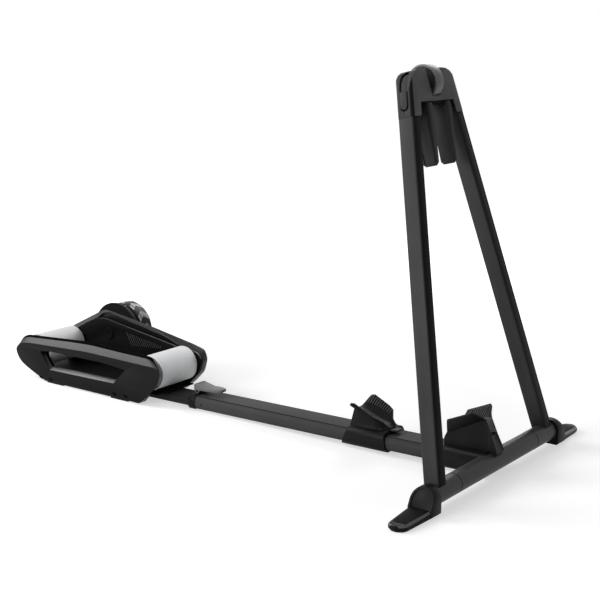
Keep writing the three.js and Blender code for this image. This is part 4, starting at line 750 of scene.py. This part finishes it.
# The louvres beside it fill a wedge between two lines, given by their ends' y and z
louvres = {"count": 17, "top": [(1067, 109), (930, 86)], "foot": [(1048, 76), (930, 85)], "width": 2.6,
           "proud": 2.0, "sunk": 0.3, "slope": 0.45, "edge": 0.25, "shortest": 6}
(topA, topB), (footA, footB) = louvres["top"], louvres["foot"]
for i in range(louvres["count"]):
    share = i / louvres["count"]
    high = Vector([a + (b - a) * share for a, b in zip(topA, topB)])
    low = Vector([a + (b - a) * share for a, b in zip(footA, footB)])
    span = (high - low).length
    if span < louvres["shortest"]:
        continue
    slat = cuboid(wallFace - louvres["proud"], wallFace + louvres["sunk"], -louvres["width"] / 2,
                  louvres["width"] / 2, -span / 2, span / 2)
    shifted(slat, lambda spot: spot.x < wallFace / 1000 and spot.y > 0, dy=-louvres["width"] * louvres["slope"])
    bevelled(slat, louvres["edge"], 1)
    lean = math.atan2(high.x - low.x, high.y - low.y)
    middle = Vector((0, (high.x + low.x) / 2000, (high.y + low.y) / 2000))
    slat.data.transform(Matrix.Translation(middle) @ Matrix.Rotation(-lean, 4, "X"))
    finished(slat, "wall_louvre_" + str(i + 1), "roller_unit", finishes["louvreNylon"],
             spinePlace)
print("cap and louvres made")

# Rear unit: the sloping lip under the grip opening
lip = {"x0": -84.7, "x1": -69.6, "crest": -77, "y0": 974, "y1": 1190, "foot": 23.4, "rise": 6.4,
       "frontHeight": 0.4, "spread0": 6.2, "spread1": 5, "edge": 0.6}
edge = cuboid(lip["x0"], lip["x1"], lip["y0"], lip["y1"], lip["foot"], lip["foot"] + lip["rise"])
edit(edge)
bpy.ops.mesh.bisect(plane_co=(lip["crest"] / 1000, 0, 0), plane_no=(1, 0, 0))
leave()
isTop = lambda spot: spot.z > (lip["foot"] + lip["rise"] - 0.1) / 1000
lipMiddle = (lip["y0"] + lip["y1"]) / 2000
shifted(edge, lambda spot: isTop(spot) and spot.x < (lip["x0"] + 1) / 1000, dz=lip["frontHeight"] - lip["rise"])
shifted(edge, lambda spot: isTop(spot) and spot.y < lipMiddle, dy=-lip["spread0"])
shifted(edge, lambda spot: isTop(spot) and spot.y > lipMiddle, dy=lip["spread1"])
bevelled(edge, lip["edge"], 2, 20)
finished(edge, "grip_lip", "roller_unit", finishes["lipNylon"], spinePlace)
print("grip lip made")

# Tyre chocks: ribs inside the wings, which start and end at shares of the chock's length. Each row of a
# chock's section: share of its length, the wing root's half width and height and the wing tip's half
# width and height, as shares.
chocks = {
    "front_chock": {
        "front": -16, "length": 114.5, "height": 88, "heel": 0, "from": 0.43, "to": 0.86, "ribs": 10,
        "rows": [(0.358, 0.344, 0.756, 0.844, 0.972), (0.41, 0.367, 0.722, 1, 1),
                 (0.664, 0.476, 0.558, 1, 0.858), (0.873, 0.569, 0.422, 1, 0.744),
                 (0.908, 0.584, 0.399, 0.822, 0.585)]},
    "rear_chock": {
        "front": 240, "length": 80, "height": 60, "heel": 10, "from": 0.3, "to": 0.93, "ribs": 11,
        "rows": [(0.275, 0.622, 0.467, 0.933, 0.6), (0.4, 0.622, 0.55, 1, 0.7),
                 (0.65, 0.622, 0.65, 1, 0.867), (0.8625, 0.6, 0.72, 1, 1), (0.965, 0.5, 0.75, 0.99, 0.99)]},
}
wing = {"half": 45, "thick": 4.5, "floorHalf": 9, "deck": 15.5, "ribWidth": 1.5, "ribHeight": 1.1,
        "ribFrom": 0.08, "ribTo": 0.88, "rootLift": 0.6, "tipIn": 0.7, "tyrePlace": 162, "tyreRadius": 340,
        "tyreGap": 2, "tyreLift": 8, "heelFoot": 21.75}


def wingLine(chock, row):
    # the wing's inner face at one section: its foot and its upper edge
    share, rootHalf, rootUp, tipHalf, tipUp = row
    y = chock["front"] + share * chock["length"]
    root = wing["deck"] + rootUp * chock["height"]
    radius = wing["tyreRadius"] + wing["tyreGap"]
    hub = wing["deck"] + wing["tyreLift"] + wing["tyreRadius"]
    floor = min(hub - math.sqrt(radius ** 2 - (y - wing["tyrePlace"]) ** 2), root)
    foot = Vector((max(wing["floorHalf"], rootHalf * wing["half"] - wing["thick"]), y,
                   max(floor + wing["thick"] / 3, root + wing["thick"] * wing["rootLift"])))
    tip = Vector((tipHalf * wing["half"] - wing["thick"] * wing["tipIn"], y,
                  wing["deck"] + tipUp * chock["height"] + wing["thick"] / 2))
    for spot in (foot, tip):
        spot.y += chock["heel"] * share * max(0, 1 - (spot.z - wing["heelFoot"]) / chock["height"])
    return foot, tip


for name, chock in chocks.items():
    lines = [wingLine(chock, row) for row in chock["rows"]]
    for i in range(chock["ribs"]):
        share = chock["from"] + (chock["to"] - chock["from"]) * i / (chock["ribs"] - 1)
        y = chock["front"] + chock["length"] * share
        for (footA, tipA), (footB, tipB) in zip(lines, lines[1:]):
            if tipA.y <= y <= tipB.y:
                share = (y - tipA.y) / (tipB.y - tipA.y)
                foot, tip = footA.lerp(footB, share), tipA.lerp(tipB, share)
                rib = onLine(foot.lerp(tip, wing["ribFrom"]), foot.lerp(tip, wing["ribTo"]), wing["ribWidth"],
                             wing["ribHeight"])
                other = twin(rib, mirror)
                outward(other)
                for side, piece in (("right", rib), ("left", other)):
                    finished(piece, name + "_" + side + "_rib_" + str(i + 1), bodyOf[name],
                             finishes["ribNylon"], spinePlace)
                break
print("chock ribs made")

# Head: the thumb wheel's bright rim, and a dark web on each side of it
thumb = {"radius": 34.5, "half": 12.9, "height": 772, "sides": 96, "end": [(4.6, 0), (0.8, -2.6), (20, 0)],
         "edge": 2.2}
web = {"radius": 28.5, "inner": 4, "outer": 12, "sides": 64, "edge": 0.5,
       "end": [(2, 0), (0.8, -1.2), (14, 0), (1.2, 3.6), (4, 0), (0.5, -2)]}
rim = cylinder(thumb["sides"], thumb["radius"], -thumb["half"], thumb["half"], 0, thumb["height"])
for side in sides.values():
    steppedEnd(rim, side, thumb["end"])
bevelled(rim, thumb["edge"], 4, 40)
finished(rim, "thumb_wheel_rim", "thumb_wheel", finishes["wheelNylon"], legPlace,
         ["thumb_wheel"])
for sideName, side in sides.items():
    x0, x1 = sorted((side * web["inner"], side * web["outer"]))
    disc = cylinder(web["sides"], web["radius"], x0, x1, 0, thumb["height"])
    steppedEnd(disc, side, web["end"])
    bevelled(disc, web["edge"])
    finished(disc, "thumb_wheel_" + sideName + "_web", "thumb_wheel", finishes["headNylon"],
             legPlace)
print("thumb wheel made")

# Head: the lip under the rear half's opening, behind the arms, with rounded lower corners
brow = {"x0": 20, "x1": 52, "y0": 17, "y1": 19, "z0": 727.5, "z1": 732, "corner": 1.5, "edge": 0.3}
browFoot = (brow["z0"] + 0.5) / 1000
for sideName, side in sides.items():
    x0, x1 = sorted((side * brow["x0"], side * brow["x1"]))
    edge = cuboid(x0, x1, brow["y0"], brow["y1"], brow["z0"], brow["z1"])
    edgeBevel(edge, lambda a, b: a.z < browFoot and b.z < browFoot and abs(a.x - b.x) < 0.0001,
              brow["corner"], 2)
    bevelled(edge, brow["edge"], 1)
    finished(edge, "head_brow_" + sideName, bodyOf["head_rear_shell"], finishes["headNylon"],
             legPlace)
print("head lip made")

# Front base: the grained tread let into each toe
tread = {"x0": 298, "x1": 362, "half0": 17.5, "half1": 13.5, "top0": -13.4, "top1": -16.6, "thick": 1.2,
         "proud": 0.5, "corner": 6, "edge": 0.4}
for sideName, side in sides.items():
    pad = cuboid(tread["x0"], tread["x1"], -tread["half0"], tread["half0"], tread["top0"] - tread["thick"],
                 tread["top0"] + tread["proud"])
    edit(pad, "VERT", lambda spot: spot.x > (tread["x1"] - 1) / 1000)
    bpy.ops.transform.resize(value=(1, tread["half1"] / tread["half0"], 1))
    bpy.ops.transform.translate(value=(0, 0, (tread["top1"] - tread["top0"]) / 1000))
    leave()
    edgeBevel(pad, lambda a, b: abs(a.x - b.x) < 0.001 and abs(a.y - b.y) < 0.001, tread["corner"], 5)
    bevelled(pad, tread["edge"])
    if side < 0:
        pad.data.transform(mirror)
        outward(pad)
    finished(pad, sideName + "_toe_tread", "base", finishes["treadRubber"],
             basePlace)
print("toe treads made")

# Spine: near-black strips let into the two track grooves just under the surface: painted shade in the grooves
track = {"x0": 27.1, "x1": 29.1, "y0": 70, "y1": 755, "foot": 14.2, "top": 15.3, "edge": 0.15}
for sideName, side in sides.items():
    grooveShade = cuboid(track["x0"], track["x1"], track["y0"], track["y1"], track["foot"], track["top"])
    if side < 0:
        grooveShade.data.transform(mirror)
    outward(grooveShade)
    bevelled(grooveShade, track["edge"], 1)
    finished(grooveShade, "track_groove_painted_shade_" + sideName, "base", finishes["paintedShadeNylon"], spinePlace)

# Spine: the set screw that keeps the collar on
setScrew = {"radius": 2.6, "sides": 32, "x": -37.5, "proud": 0.3, "sunk": 1, "y": 739, "z": -1,
            "socket": [(1.3, 0), (0.1, -1)], "edge": 0.1}
head = cylinder(setScrew["sides"], setScrew["radius"], setScrew["x"] - setScrew["proud"],
                setScrew["x"] + setScrew["sunk"], setScrew["y"], setScrew["z"])
steppedEnd(head, -1, setScrew["socket"])
bevelled(head, setScrew["edge"], 1)
finished(head, "collar_set_screw", "base", finishes["blackSteel"], spinePlace)
print("liners and set screw made")

# Front base: thin near-black rings where the pivot sleeves meet the cross tube: painted shade in the seams
seamShade = {"radius": 21.15, "sides": 96, "half": 0.7, "thick": 0.9}
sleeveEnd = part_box("right_pivot_sleeve")[0].x * 1000
for sideName, side in sides.items():
    middle = side * sleeveEnd
    ring = cylinder(seamShade["sides"], seamShade["radius"], middle - seamShade["half"], middle + seamShade["half"], 0, 0,
                    "NOTHING")
    thickened(ring, seamShade["thick"], -1)
    finished(ring, sideName + "_sleeve_seam_shade", "base", finishes["paintedShadeNylon"], basePlace)
print("sleeve seals made")

# Rear unit: drain slots above the near pads, at these places in y and z, drawn as flat near-black bars just
# proud of the cover: painted shade for the slots' insides
slots = {"x": -84.9, "proud": 0.25, "sunk": 1.0, "width": 5.0, "length": 13, "lean": 24, "round": 0.49,
         "places": [(1224, -0.5), (1190, -0.5), (971, -2), (934.5, -1.5)]}
for i, (y, z) in enumerate(slots["places"]):
    mark = cuboid(slots["x"] - slots["proud"], slots["x"] + slots["sunk"], -slots["length"] / 2,
                  slots["length"] / 2, -slots["width"] / 2, slots["width"] / 2)
    edgeBevel(mark, lambda a, b: abs(a.y - b.y) < 0.0001 and abs(a.z - b.z) < 0.0001,
              slots["width"] * slots["round"], 5)
    lean = Matrix.Rotation(math.radians(slots["lean"]), 4, "X")
    mark.data.transform(Matrix.Translation((0, y / 1000, z / 1000)) @ lean)
    finished(mark, "drain_slot_painted_shade_" + str(i + 1), "roller_unit", finishes["paintedShadeNylon"],
             spinePlace)

# Rear unit: the ledge under the rear drum, rounded on its free upper edge
shelf = {"x0": 50, "x1": 63.9, "y0": 1247, "y1": 1268, "foot": 9, "top": 17.2, "corner": 4, "edge": 0.5}
free, upper = (shelf["x0"] + 1) / 1000, (shelf["top"] - 0.2) / 1000
ledge = cuboid(shelf["x0"], shelf["x1"], shelf["y0"], shelf["y1"], shelf["foot"], shelf["top"])
edgeBevel(ledge, lambda a, b: a.x < free and b.x < free and a.z > upper and b.z > upper, shelf["corner"], 2)
bevelled(ledge, shelf["edge"], 1)
finished(ledge, "pan_ledge", "roller_unit", finishes["wallNylon"], spinePlace)
print("drain slots and ledge made")
